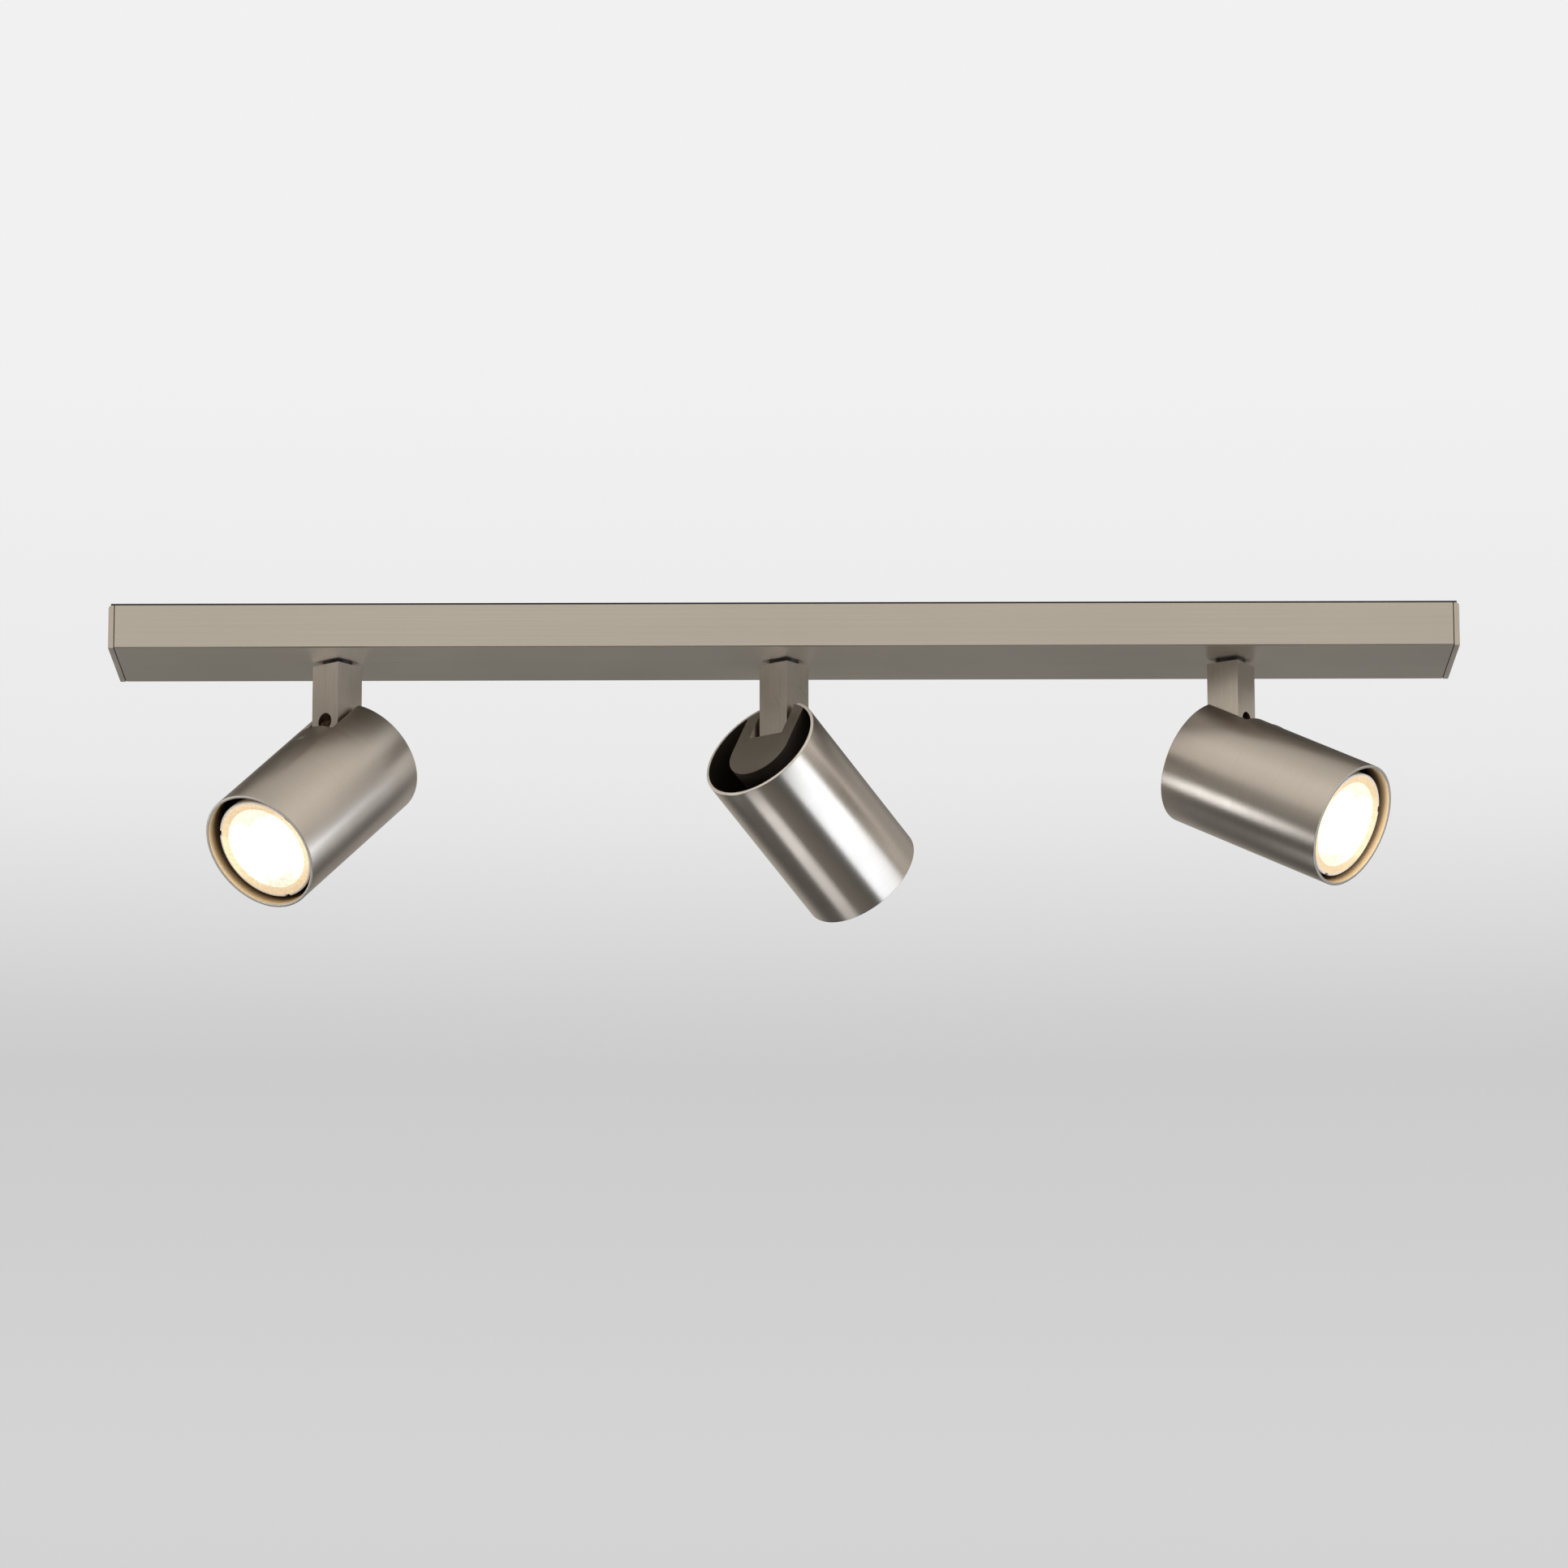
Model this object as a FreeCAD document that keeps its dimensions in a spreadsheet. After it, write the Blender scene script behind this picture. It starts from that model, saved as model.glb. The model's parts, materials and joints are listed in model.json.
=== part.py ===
# A ceiling spotlight bar. Three round heads hang under a shallow channel. Each head tilts on a hinge at the
# foot of a square post, and each post turns under the channel on a hollow threaded tube.
# X runs along the bar, +Z is up, and a head that points straight ahead faces -Y. The origin is the centre of
# the face that lies against the ceiling. Lengths are in millimetres and angles in degrees.
import FreeCAD, Part
import math
import os
from types import SimpleNamespace

import Sketcher

SIZES = [
    # the bar
    ("bar_length", 640.0, "bar over its end caps"),
    ("bar_depth", 67.3, "bar from front to back"),
    ("channel_height", 20.7, "channel below the mounting plate"),
    ("channel_wall", 1.6, "wall of the channel"),
    ("channel_edge", 0.5, "bevel on the channel's lower edges"),
    ("rib_width", 5.6, "screw-port rib, out from the wall"),
    ("rib_height", 5.6, "screw-port rib, up and down"),
    ("rib_drop", 6.0, "top of the rib below the channel's rim"),
    ("cap_thickness", 3.0, "end cap, along the bar"),
    ("cap_joint", 0.3, "shadow groove between cap and channel"),
    ("cap_corner", 1.5, "round on the cap's top outer edge"),
    ("cap_edge", 0.4, "round on the cap's other outer edges"),
    ("cap_tongue", 5.0, "tongue of the cap inside the channel"),
    ("cap_tongue_height", 2.0, "tongue, up and down"),
    ("cap_clearance", 0.15, "tongue inside the channel"),
    ("cap_screw_radius", 1.25, "shank of an end-cap screw"),
    ("cap_screw_length", 15.0, "end-cap screw with its head"),
    ("cap_screw_head", 2.7, "radius of the countersunk head"),
    ("screw_clearance", 0.15, "clearance hole round a shank"),
    # the mounting plate
    ("plate_thickness", 1.1, "mounting plate"),
    ("plate_inset", 1.0, "edge of the plate inside the bar's outline"),
    ("fixing_spacing", 300.0, "between the two ceiling-screw slots"),
    ("fixing_slot_radius", 2.75, "half the width of a ceiling-screw slot"),
    ("fixing_slot_length", 16.0, "slot, end to end"),
    ("hook_place", 105.0, "front hooks, from the bar's middle"),
    ("tab_from_end", 58.0, "rear screw tabs, from the bar's ends"),
    ("tab_width", 16.0, "hook or tab, along the bar"),
    ("tab_gap", 0.4, "tab beside the rib"),
    ("tab_drop", 13.6, "rear tab below the plate"),
    ("hook_foot", 3.0, "hook's foot under the rib"),
    ("rear_screw_radius", 1.5, "channel screw through the back wall"),
    ("rear_screw_head", 2.8, "radius of its head"),
    ("rear_screw_head_height", 1.8, "height of its head"),
    ("entry_place", 107.0, "cable entry, from the bar's middle"),
    ("entry_hole_radius", 9.0, "hole in the plate for the bush"),
    ("entry_bore_radius", 5.0, "bore of the bush"),
    ("entry_flange_radius", 11.5, "flange of the bush under the plate"),
    ("entry_flange", 2.9, "thickness of that flange"),
    # wiring in the bar
    ("block_place", 50.0, "terminal block, from the bar's middle"),
    ("block_length", 18.0, "terminal block, along the bar"),
    ("block_depth", 25.0, "terminal block, front to back"),
    ("block_height", 12.0, "terminal block below the plate"),
    ("pole_spacing", 8.0, "between the block's poles"),
    ("terminal_screw_radius", 1.6, "terminal screw"),
    ("terminal_screw_place", 5.0, "terminal screw from the block's middle"),
    ("terminal_screw_length", 5.0, "terminal screw"),
    ("terminal_well", 1.5, "screw's head below the block's face"),
    ("earth_place", 84.0, "earth screw, from the bar's middle"),
    ("earth_gap", 2.6, "earth screw's head clear of the front rib"),
    ("earth_radius", 2.0, "shank of the earth screw"),
    ("earth_length", 9.0, "earth screw below the plate"),
    ("earth_head", 3.8, "radius of its head"),
    ("earth_head_height", 2.2, "height of its head"),
    ("earth_head_drop", 5.2, "top of its head below the plate"),
    ("upper_hole_drop", 3.2, "block's upper wire holes below the plate"),
    ("lower_hole_drop", 8.4, "block's lower wire holes below the plate"),
    ("lead_entry", 2.0, "lead inside the terminal block"),
    ("lead_radius", 1.1, "insulated lead"),
    ("lead_offset", 1.3, "centre of a lead from the pair's middle"),
    ("lead_level", 5.4, "long run of the leads below the ceiling face"),
    ("lead_back", 16.0, "long run of the leads behind the middle line"),
    ("lead_approach", 15.0, "level run of a lead before it drops into a post"),
    ("lead_split", 0.3, "gap between two stretches at a turning joint"),
    # the turning joint
    ("head_spacing", 213.3, "between neighbouring posts"),
    ("swivel_radius", 5.0, "hollow threaded tube"),
    ("swivel_bore", 3.5, "bore of that tube"),
    ("swivel_fit", 0.06, "tube in the channel, radial"),
    ("swivel_stub", 2.0, "tube above its nut"),
    ("swivel_seat", 9.0, "tube inside the post"),
    ("glide_gap", 1.37, "glide washer between post and channel"),
    ("glide_land", 2.0, "glide washer, out from the threaded tube"),
    ("washer_clearance", 0.3, "threaded tube in the parts above the floor"),
    ("stop_plate", 1.0, "stop plate on the channel's floor"),
    ("stop_plate_width", 30.0, "stop plate, along the bar"),
    ("stop_reach", 6.0, "stop tab, out from the threaded tube"),
    ("stop_depth", 2.0, "stop tab, in and out"),
    ("stop_width", 1.6, "stop tab and stop tongue, across"),
    ("stop_rise", 4.0, "stop tab above its plate"),
    ("spring_height", 0.9, "pressed spring washer"),
    ("spring_sheet", 0.5, "sheet of the spring washer"),
    ("spring_land", 3.2, "spring washer, out from the threaded tube"),
    ("nut_height", 4.0, "nut on the threaded tube"),
    ("nut_land", 3.0, "nut's corners, out from the threaded tube"),
    ("tongue_height", 1.5, "stop tongue of the nut"),
    # the post
    ("post_side", 16.6, "square post"),
    ("post_bevel", 0.5, "bevel on the post's upright edges"),
    ("post_drop", 35.3, "hinge pin below the post's top"),
    ("post_bore", 4.0, "wiring bore"),
    ("outlet_radius", 4.2, "lead outlet in the post's front face"),
    ("outlet_rise", 7.1, "outlet above the hinge pin"),
    ("pin_radius", 2.0, "hinge pin"),
    ("pin_fit", 0.05, "hinge pin in the post, radial"),
    ("pin_head_radius", 3.5, "head of the hinge pin"),
    ("pin_head_height", 2.2, "head of the hinge pin"),
    # the head
    ("tube_wall", 1.5, "wall of the head tube"),
    ("rim_rise", 11.4, "rear rim behind the hinge pin"),
    ("hinge_depth", 11.6, "hinge pin in from the tube's inner wall"),
    ("slot_margin", 1.85, "slot in the tube beyond the slot in the yoke, each side"),
    ("slot_clearance", 2.8, "end of the tube's slot beyond the level post"),
    ("yoke_fit", 0.05, "yoke inside the tube"),
    ("yoke_cheek", 6.9, "cheek of the yoke"),
    ("yoke_plate", 3.0, "rear plate of the yoke"),
    ("yoke_wall", 2.0, "wall of the yoke's box"),
    ("yoke_clearance", 1.05, "box of the yoke beyond the level post"),
    ("hinge_relief", 0.4, "post clear of the slot's floor"),
    ("arm_height", 13.0, "yoke's arms, in from the tube wall"),
    ("bridge_gap", 4.5, "bridge between the arms beyond the tube's slot"),
    ("bridge_length", 12.0, "bridge, along the tube"),
    ("bridge_height", 5.0, "bridge, in from the tube wall"),
    ("friction_gap", 0.05, "post beside a friction washer"),
    ("friction_thickness", 1.5, "friction washer"),
    ("friction_radius", 6.5, "friction washer"),
    ("tube_screw_radius", 1.25, "shank of the tube screw"),
    ("tube_screw_head", 2.7, "radius of its head"),
    ("tube_screw_sink", 1.3, "height of its countersunk head"),
    ("tube_screw_length", 6.0, "tube screw with its head"),
    ("recess_reach", 1.6, "cross recess, from the screw's middle"),
    ("recess_width", 0.7, "cross recess, arm width"),
    ("recess_depth", 0.7, "cross recess"),
    ("pillar_place", 9.5, "lampholder pillar from the tube's axis"),
    ("pillar_radius", 3.0, "lampholder pillar"),
    ("holder_gap", 1.4, "lampholder in front of the yoke's box"),
    ("holder_length", 15.0, "lampholder"),
    ("holder_radius", 13.6, "lampholder"),
    ("holder_edge", 1.2, "bevel of the lampholder's rear edge"),
    ("holder_screw_radius", 1.25, "shank of a lampholder screw"),
    ("holder_screw_head", 2.6, "radius of its head"),
    ("holder_screw_head_height", 2.0, "height of its head"),
    ("holder_screw_grip", 8.0, "screw in its pillar"),
    ("holder_well", 4.0, "depth of the screw wells"),
    ("socket_radius", 2.7, "lampholder's pin socket"),
    ("socket_depth", 9.0, "lampholder's pin socket"),
    ("lead_port", 8.2, "leads' crossing, from the rear rim"),
    ("lead_port_radius", 3.2, "opening for the leads, to the hinge side"),
    ("lead_foot", 5.0, "leads at the lampholder, from its middle"),
    # the lamp
    ("lamp_side", 0.55, "lampholder and lamp beside the tube's axis"),
    ("lamp_drop", 0.85, "lampholder and lamp off the tube's axis, away from the hinge"),
    ("pin_spacing", 10.0, "between the lamp's contact pins"),
    ("contact_radius", 1.2, "contact pin"),
    ("contact_length", 6.5, "contact pin"),
    ("contact_head_radius", 2.4, "head of a contact pin"),
    ("contact_head", 1.5, "head of a contact pin"),
    ("lamp_gap", 0.5, "lamp's base in front of the lampholder"),
    ("lamp_length", 50.5, "lamp, from its base to its face"),
    ("lamp_clearance", 3.0, "tube's inner wall outside the lamp's rim, if both were centred"),
    ("lamp_inset", 3.4, "lamp's face inside the tube's front rim"),
    ("lamp_radius", 25.5, "rim of the lamp"),
    ("lamp_base_radius", 9.6, "lamp's base"),
    ("lamp_base_length", 9.0, "lamp's base"),
    ("lamp_shoulder", 1.5, "lamp behind its rim, in from the rim"),
    ("lamp_waist_radius", 17.0, "lamp halfway along its flare"),
    ("lamp_waist_length", 12.5, "flare behind that, along the lamp"),
    ("lamp_rim_depth", 3.6, "rim of the lamp, front to back"),
    ("lamp_rim_lip", 1.1, "flat lip of the rim"),
    ("lamp_cone_depth", 0.9, "rim's inner slope"),
    ("lens_seat", 3.0, "depth of the lens seat"),
    ("lens_margin", 4.6, "lens seat in from the lamp's rim"),
    ("lens_fit", 0.1, "lens in its seat, radial"),
    ("lens_flat", 12.5, "lens, middle facet's radius"),
    ("lens_thickness", 2.3, "lens at its edge"),
    ("lens_crown", 0.6, "lens, middle above edge"),
    ("notch_width", 3.0, "notch in the lamp's rim"),
    ("notch_depth", 1.0, "notch, inwards"),
    # how the heads stand at rest
    ("pan_left", -39.9, "left post, turned about +Z"),
    ("pan_middle", 141.3, "middle post"),
    ("pan_right", 57.7, "right post"),
    ("tilt_left", 51.0, "left head, raised from straight down"),
    ("tilt_middle", 57.6, "middle head"),
    ("tilt_right", 63.4, "right head"),
]

SIDES = ("left", "middle", "right")

# yaw, pitch and roll that turn +Z to each direction
ALONG = {
    "+Z": (0, 0, 0),
    "-Z": (0, 180, 0),
    "+X": (0, 90, 0),
    "-X": (0, -90, 0),
    "+Y": (0, 0, -90),
    "-Y": (0, 0, 90),
}

OVERSHOOT = 1.0  # how far a cutting shape runs past the face that it opens


class Size:
    """A length that knows both its number and the sheet expression that it comes from."""

    def __init__(self, text, value):
        self.text = text
        self.value = value

    def __add__(self, other):
        other = as_size(other)
        return Size(f"({self.text} + {other.text})", self.value + other.value)

    def __sub__(self, other):
        other = as_size(other)
        return Size(f"({self.text} - {other.text})", self.value - other.value)

    def __mul__(self, other):
        other = as_size(other)
        return Size(f"({self.text} * {other.text})", self.value * other.value)

    def __truediv__(self, other):
        other = as_size(other)
        return Size(f"({self.text} / {other.text})", self.value / other.value)

    def __neg__(self):
        return as_size(0) - self

    def __radd__(self, other):
        return as_size(other) + self

    def __rsub__(self, other):
        return as_size(other) - self

    def __rmul__(self, other):
        return as_size(other) * self


def as_size(value):
    if isinstance(value, Size):
        return value
    return Size(f"({value})", float(value))


def make_sheet(doc):
    """The spreadsheet of driving sizes, and the same sizes as Size values."""
    sheet = doc.addObject("Spreadsheet::Sheet", "Sizes")
    for row, (alias, value, meaning) in enumerate(SIZES, start=1):
        sheet.set(f"A{row}", alias)
        sheet.set(f"B{row}", str(value))
        sheet.set(f"C{row}", meaning)
        sheet.setAlias(f"B{row}", alias)
    doc.recompute()
    sizes = {alias: Size(f"Sizes.{alias}", float(sheet.get(alias))) for alias, _, _ in SIZES}
    return SimpleNamespace(**sizes)


doc = FreeCAD.newDocument("SpotlightBar")
s = make_sheet(doc)

# places that several pieces share, in the bar's frame
HALF_LENGTH = s.bar_length / 2
HALF_DEPTH = s.bar_depth / 2
RIM_Z = -s.plate_thickness
UNDERSIDE_Z = RIM_Z - s.channel_height
FLOOR_Z = UNDERSIDE_Z + s.channel_wall
CHANNEL_END = HALF_LENGTH - s.cap_thickness
INNER_DEPTH = HALF_DEPTH - s.channel_wall
RIB_TOP_Z = RIM_Z - s.rib_drop
RIB_Z = RIB_TOP_Z - s.rib_height / 2
RIB_FACE = INNER_DEPTH - s.rib_width
PORT_Y = INNER_DEPTH - s.rib_width / 2
SPRING_Z = FLOOR_Z + s.stop_plate
NUT_Z = SPRING_Z + s.spring_height
SWIVEL_TOP_Z = NUT_Z + s.nut_height + s.swivel_stub
TAB_PLACE = HALF_LENGTH - s.tab_from_end
EARTH_Y = s.earth_head + s.earth_gap - RIB_FACE
WASHER_HOLE = s.swivel_radius + s.washer_clearance
STOP_INNER = s.swivel_radius + s.stop_reach
STOP_OUTER = STOP_INNER + s.stop_depth
PIVOT_Z = UNDERSIDE_Z - s.glide_gap - s.post_drop
POST_X = {"left": -s.head_spacing, "middle": as_size(0), "right": s.head_spacing}
PAN = {"left": s.pan_left, "middle": s.pan_middle, "right": s.pan_right}
TILT = {"left": s.tilt_left, "middle": s.tilt_middle, "right": s.tilt_right}

# places in a head's own frame: the origin is the middle of the tube's rear rim, +Z points back out of the
# tube, and the hinge is on the -Y side
TUBE_INNER = s.lamp_radius + s.lamp_clearance
TUBE_RADIUS = TUBE_INNER + s.tube_wall
AXIS_OFFSET = TUBE_INNER - s.hinge_depth
LEVEL_POST = s.rim_rise + s.post_side / 2
SLOT_LENGTH = LEVEL_POST + s.slot_clearance
YOKE_LENGTH = LEVEL_POST + s.yoke_clearance
YOKE_RADIUS = TUBE_INNER - s.yoke_fit
HINGE_HALF = s.post_side / 2 + s.friction_gap + s.friction_thickness
YOKE_HALF = HINGE_HALF + s.yoke_cheek
HINGE_FLOOR_Y = s.post_side / 2 + s.hinge_relief - AXIS_OFFSET
BRIDGE_START = SLOT_LENGTH + s.bridge_gap
ARM_REACH = BRIDGE_START + s.bridge_length
TUBE_SCREW_PLACE = BRIDGE_START + s.bridge_length / 2
HOLDER_START = YOKE_LENGTH + s.holder_gap
HOLDER_FRONT_Z = -(HOLDER_START + s.holder_length)
LAMP_BASE_Z = HOLDER_FRONT_Z - s.lamp_gap
LAMP_FACE_Z = LAMP_BASE_Z - s.lamp_length
TUBE_LENGTH = s.lamp_inset - LAMP_FACE_Z


# ---- building blocks

def placement_text(x, y, z, angles):
    x, y, z = (as_size(value).text for value in (x, y, z))
    yaw, pitch, roll = (as_size(value).text for value in angles)
    return f"placement(vector({x}; {y}; {z}); rotation({yaw}; {pitch}; {roll}))"


def post_frame(side):
    """The frame of a post: its origin is under the channel, and it turns with the pan angle."""
    return placement_text(POST_X[side], 0, UNDERSIDE_Z, (PAN[side], 0, 0))


def head_frame(side):
    """The frame of a head: the hinge pin's place and angles, then the step to the tube's rear rim."""
    hinge = placement_text(POST_X[side], 0, PIVOT_Z, (PAN[side], 0, -TILT[side]))
    return f"{hinge} * {placement_text(0, AXIS_OFFSET, s.rim_rise, (0, 0, 0))}"


def lamp_frame(side):
    """The frame of a lampholder and its lamp, which sit a little off the tube's axis."""
    return f"{head_frame(side)} * {placement_text(s.lamp_side, s.lamp_drop, 0, (0, 0, 0))}"


def bind(obj, **sizes):
    """Bind properties of an object to sheet expressions."""
    for name, size in sizes.items():
        obj.setExpression(name, as_size(size).text)


def put(obj, x, y, z, along="+Z"):
    """Place an object with its +Z turned along a direction."""
    obj.setExpression("Placement", placement_text(x, y, z, ALONG[along]))
    return obj


def box(low, high):
    """A block between two corners."""
    block = doc.addObject("Part::Box", "block")
    length, width, height = (as_size(b) - as_size(a) for a, b in zip(low, high))
    bind(block, Length=length, Width=width, Height=height)
    return put(block, *low)


def rod(start, radius, length, along="+Z"):
    """A cylinder from its start point along a direction."""
    cylinder = doc.addObject("Part::Cylinder", "rod")
    bind(cylinder, Radius=radius, Height=length)
    return put(cylinder, *start, along)


def cone(start, radius, end_radius, length, along="+Z"):
    """A cone frustum from its start point along a direction."""
    frustum = doc.addObject("Part::Cone", "cone")
    bind(frustum, Radius1=radius, Radius2=end_radius, Height=length)
    return put(frustum, *start, along)


def fuse(*pieces):
    union = doc.addObject("Part::MultiFuse", "union")
    union.Shapes = list(pieces)
    union.Refine = True
    return union


def common(*pieces):
    shared = doc.addObject("Part::MultiCommon", "shared")
    shared.Shapes = list(pieces)
    return shared


def cut(base, *tools):
    """Cut one or more tools from a base."""
    cutting = doc.addObject("Part::Cut", "cutting")
    cutting.Base = base
    cutting.Tool = tools[0] if len(tools) == 1 else fuse(*tools)
    return cutting


def group(*pieces):
    """Separate solids that share one node."""
    compound = doc.addObject("Part::Compound", "group")
    compound.Links = list(pieces)
    return compound


def new_sketch(body, plane):
    sketch = body.newObject("Sketcher::SketchObject", "outline")
    origin_plane = next(item for item in body.Origin.OriginFeatures if item.Role == plane)
    sketch.AttachmentSupport = [(origin_plane, "")]
    sketch.MapMode = "FlatFace"
    return sketch


def fix_point(sketch, geometry, point, x, y):
    """Tie a point of a sketch to its place from the sketch's origin."""
    for kind, size in (("DistanceX", as_size(x)), ("DistanceY", as_size(y))):
        index = sketch.addConstraint(Sketcher.Constraint(kind, -1, 1, geometry, point, size.value))
        sketch.setExpression(f"Constraints[{index}]", size.text)


def outline(body, plane, points):
    """A closed sketch of straight lines, every corner tied to the sheet."""
    sketch = new_sketch(body, plane)
    corners = [FreeCAD.Vector(as_size(x).value, as_size(y).value, 0) for x, y in points]
    first = sketch.GeometryCount
    count = len(corners)
    for index, corner in enumerate(corners):
        sketch.addGeometry(Part.LineSegment(corner, corners[(index + 1) % count]))
    for index, (x, y) in enumerate(points):
        following = (index + 1) % count
        sketch.addConstraint(Sketcher.Constraint("Coincident", first + index, 2, first + following, 1))
        fix_point(sketch, first + index, 1, x, y)
    return sketch


def circles(body, plane, centres, radius):
    """A sketch of equal circles."""
    sketch = new_sketch(body, plane)
    for x, y in centres:
        middle = FreeCAD.Vector(as_size(x).value, as_size(y).value, 0)
        circle = Part.Circle(middle, FreeCAD.Vector(0, 0, 1), as_size(radius).value)
        index = sketch.addGeometry(circle)
        ring = sketch.addConstraint(Sketcher.Constraint("Radius", index, as_size(radius).value))
        sketch.setExpression(f"Constraints[{ring}]", as_size(radius).text)
        fix_point(sketch, index, 3, x, y)
    return sketch


def rectangle(low, high):
    """The corners of a rectangle, for outline."""
    return [low, (high[0], low[1]), high, (low[0], high[1])]


def new_body():
    return doc.addObject("PartDesign::Body", "body")


def pad(body, sketch, length, both_ways=False, backwards=False):
    feature = body.newObject("PartDesign::Pad", "pad")
    feature.Profile = sketch
    feature.Midplane = both_ways
    feature.Reversed = backwards
    bind(feature, Length=length)
    return feature


def pocket(body, sketch, length, both_ways=False, backwards=False):
    """A pocket, with a check that it takes material away."""
    doc.recompute()
    before = body.Shape.Volume
    feature = body.newObject("PartDesign::Pocket", "pocket")
    feature.Profile = sketch
    feature.Midplane = both_ways
    feature.Reversed = backwards
    bind(feature, Length=length)
    doc.recompute()
    if not body.Shape.Volume < before:
        raise ValueError(f"{sketch.Label} cuts nothing")
    return feature


def lies_on(edge, lines):
    """Whether both ends of an edge lie on one of the lines, given as (x, y, z) with None along the line."""
    ends = [(vertex.X, vertex.Y, vertex.Z) for vertex in edge.Vertexes]
    for line in lines:
        fixed = [(axis, size.value) for axis, size in enumerate(line) if size is not None]
        if all(abs(end[axis] - value) < 1e-4 for end in ends for axis, value in fixed):
            return True
    return False


def soften(body, radius, lines):
    """Round those edges of a body's last feature that lie on the lines."""
    doc.recompute()
    base = body.Tip
    names = [f"Edge{number}" for number, edge in enumerate(base.Shape.Edges, start=1) if lies_on(edge, lines)]
    feature = body.newObject("PartDesign::Fillet", "round")
    feature.Base = (base, names)
    bind(feature, Radius=radius)
    body.Tip = feature
    return feature


def turned(points):
    """A body of revolution about Z from (radius, height) points."""
    body = new_body()
    sketch = outline(body, "XZ_Plane", points)
    feature = body.newObject("PartDesign::Revolution", "turning")
    feature.Profile = sketch
    feature.ReferenceAxis = (sketch, ["V_Axis"])
    feature.Angle = 360.0
    return body


def finish(label, obj, frame=None):
    """Name a finished sub-part and put it in its frame."""
    obj.Label = label
    if frame:
        obj.setExpression("Placement", frame)
    nodes.append(obj)
    return obj


nodes = []


# ---- fasteners: a head's top face is at the origin and the shank runs down -Z

def cross_recess():
    half = s.recess_width / 2
    reach = s.recess_reach
    across = box((-reach, -half, -s.recess_depth), (reach, half, OVERSHOOT))
    along = box((-half, -reach, -s.recess_depth), (half, reach, OVERSHOOT))
    return fuse(across, along)


def countersunk_screw(radius, length, head_radius, head_height):
    head = cone((0, 0, 0), head_radius, radius, head_height, "-Z")
    shank = rod((0, 0, 0), radius, length, "-Z")
    return cut(fuse(head, shank), cross_recess())


def pan_head_screw(radius, length, head_radius, head_height):
    """A screw whose head stands above the origin."""
    head = rod((0, 0, 0), head_radius, head_height)
    shank = rod((0, 0, 0), radius, length, "-Z")
    recess = put(cross_recess(), 0, 0, head_height)
    return cut(fuse(head, shank), recess)


def countersink(start, radius, head_radius, head_height, length, along):
    """The cutting shape of a clearance hole with its countersink."""
    hole = radius + s.screw_clearance
    return fuse(rod(start, hole, length, along), cone(start, head_radius, hole, head_height, along))


# ---- the bar

def bar_channel():
    """The extruded U channel, open at the top, with a screw-port rib along each wall."""
    body = new_body()
    edge = s.channel_edge
    half = [
        (HALF_DEPTH - edge, UNDERSIDE_Z),
        (HALF_DEPTH, UNDERSIDE_Z + edge),
        (HALF_DEPTH, RIM_Z),
        (INNER_DEPTH, RIM_Z),
        (INNER_DEPTH, RIB_TOP_Z),
        (RIB_FACE, RIB_TOP_Z),
        (RIB_FACE, RIB_TOP_Z - s.rib_height),
        (INNER_DEPTH, RIB_TOP_Z - s.rib_height),
        (INNER_DEPTH, FLOOR_Z),
    ]
    mirrored = [(-y, z) for y, z in reversed(half)]
    pad(body, outline(body, "YZ_Plane", half + mirrored), CHANNEL_END * 2, both_ways=True)
    ports = circles(body, "YZ_Plane", [(-PORT_Y, RIB_Z), (PORT_Y, RIB_Z)], s.cap_screw_radius)
    pocket(body, ports, CHANNEL_END * 2 + OVERSHOOT, both_ways=True)
    posts = [(POST_X[side], 0) for side in SIDES]
    holes = circles(body, "XY_Plane", posts, s.swivel_radius + s.swivel_fit)
    pocket(body, holes, s.bar_depth, both_ways=True)
    radius = s.rear_screw_radius + s.screw_clearance
    rear = rear_screw_holes(radius, HALF_DEPTH + OVERSHOOT, RIB_FACE - OVERSHOOT)
    finish("bar_channel", cut(body, *rear))


def rear_screw_holes(radius, outer, inner):
    """Rods from the back towards the front at the places of the channel's screws."""
    places = (-TAB_PLACE, TAB_PLACE)
    return [rod((x, outer, RIB_Z), radius, outer - inner, "-Y") for x in places]


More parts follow.
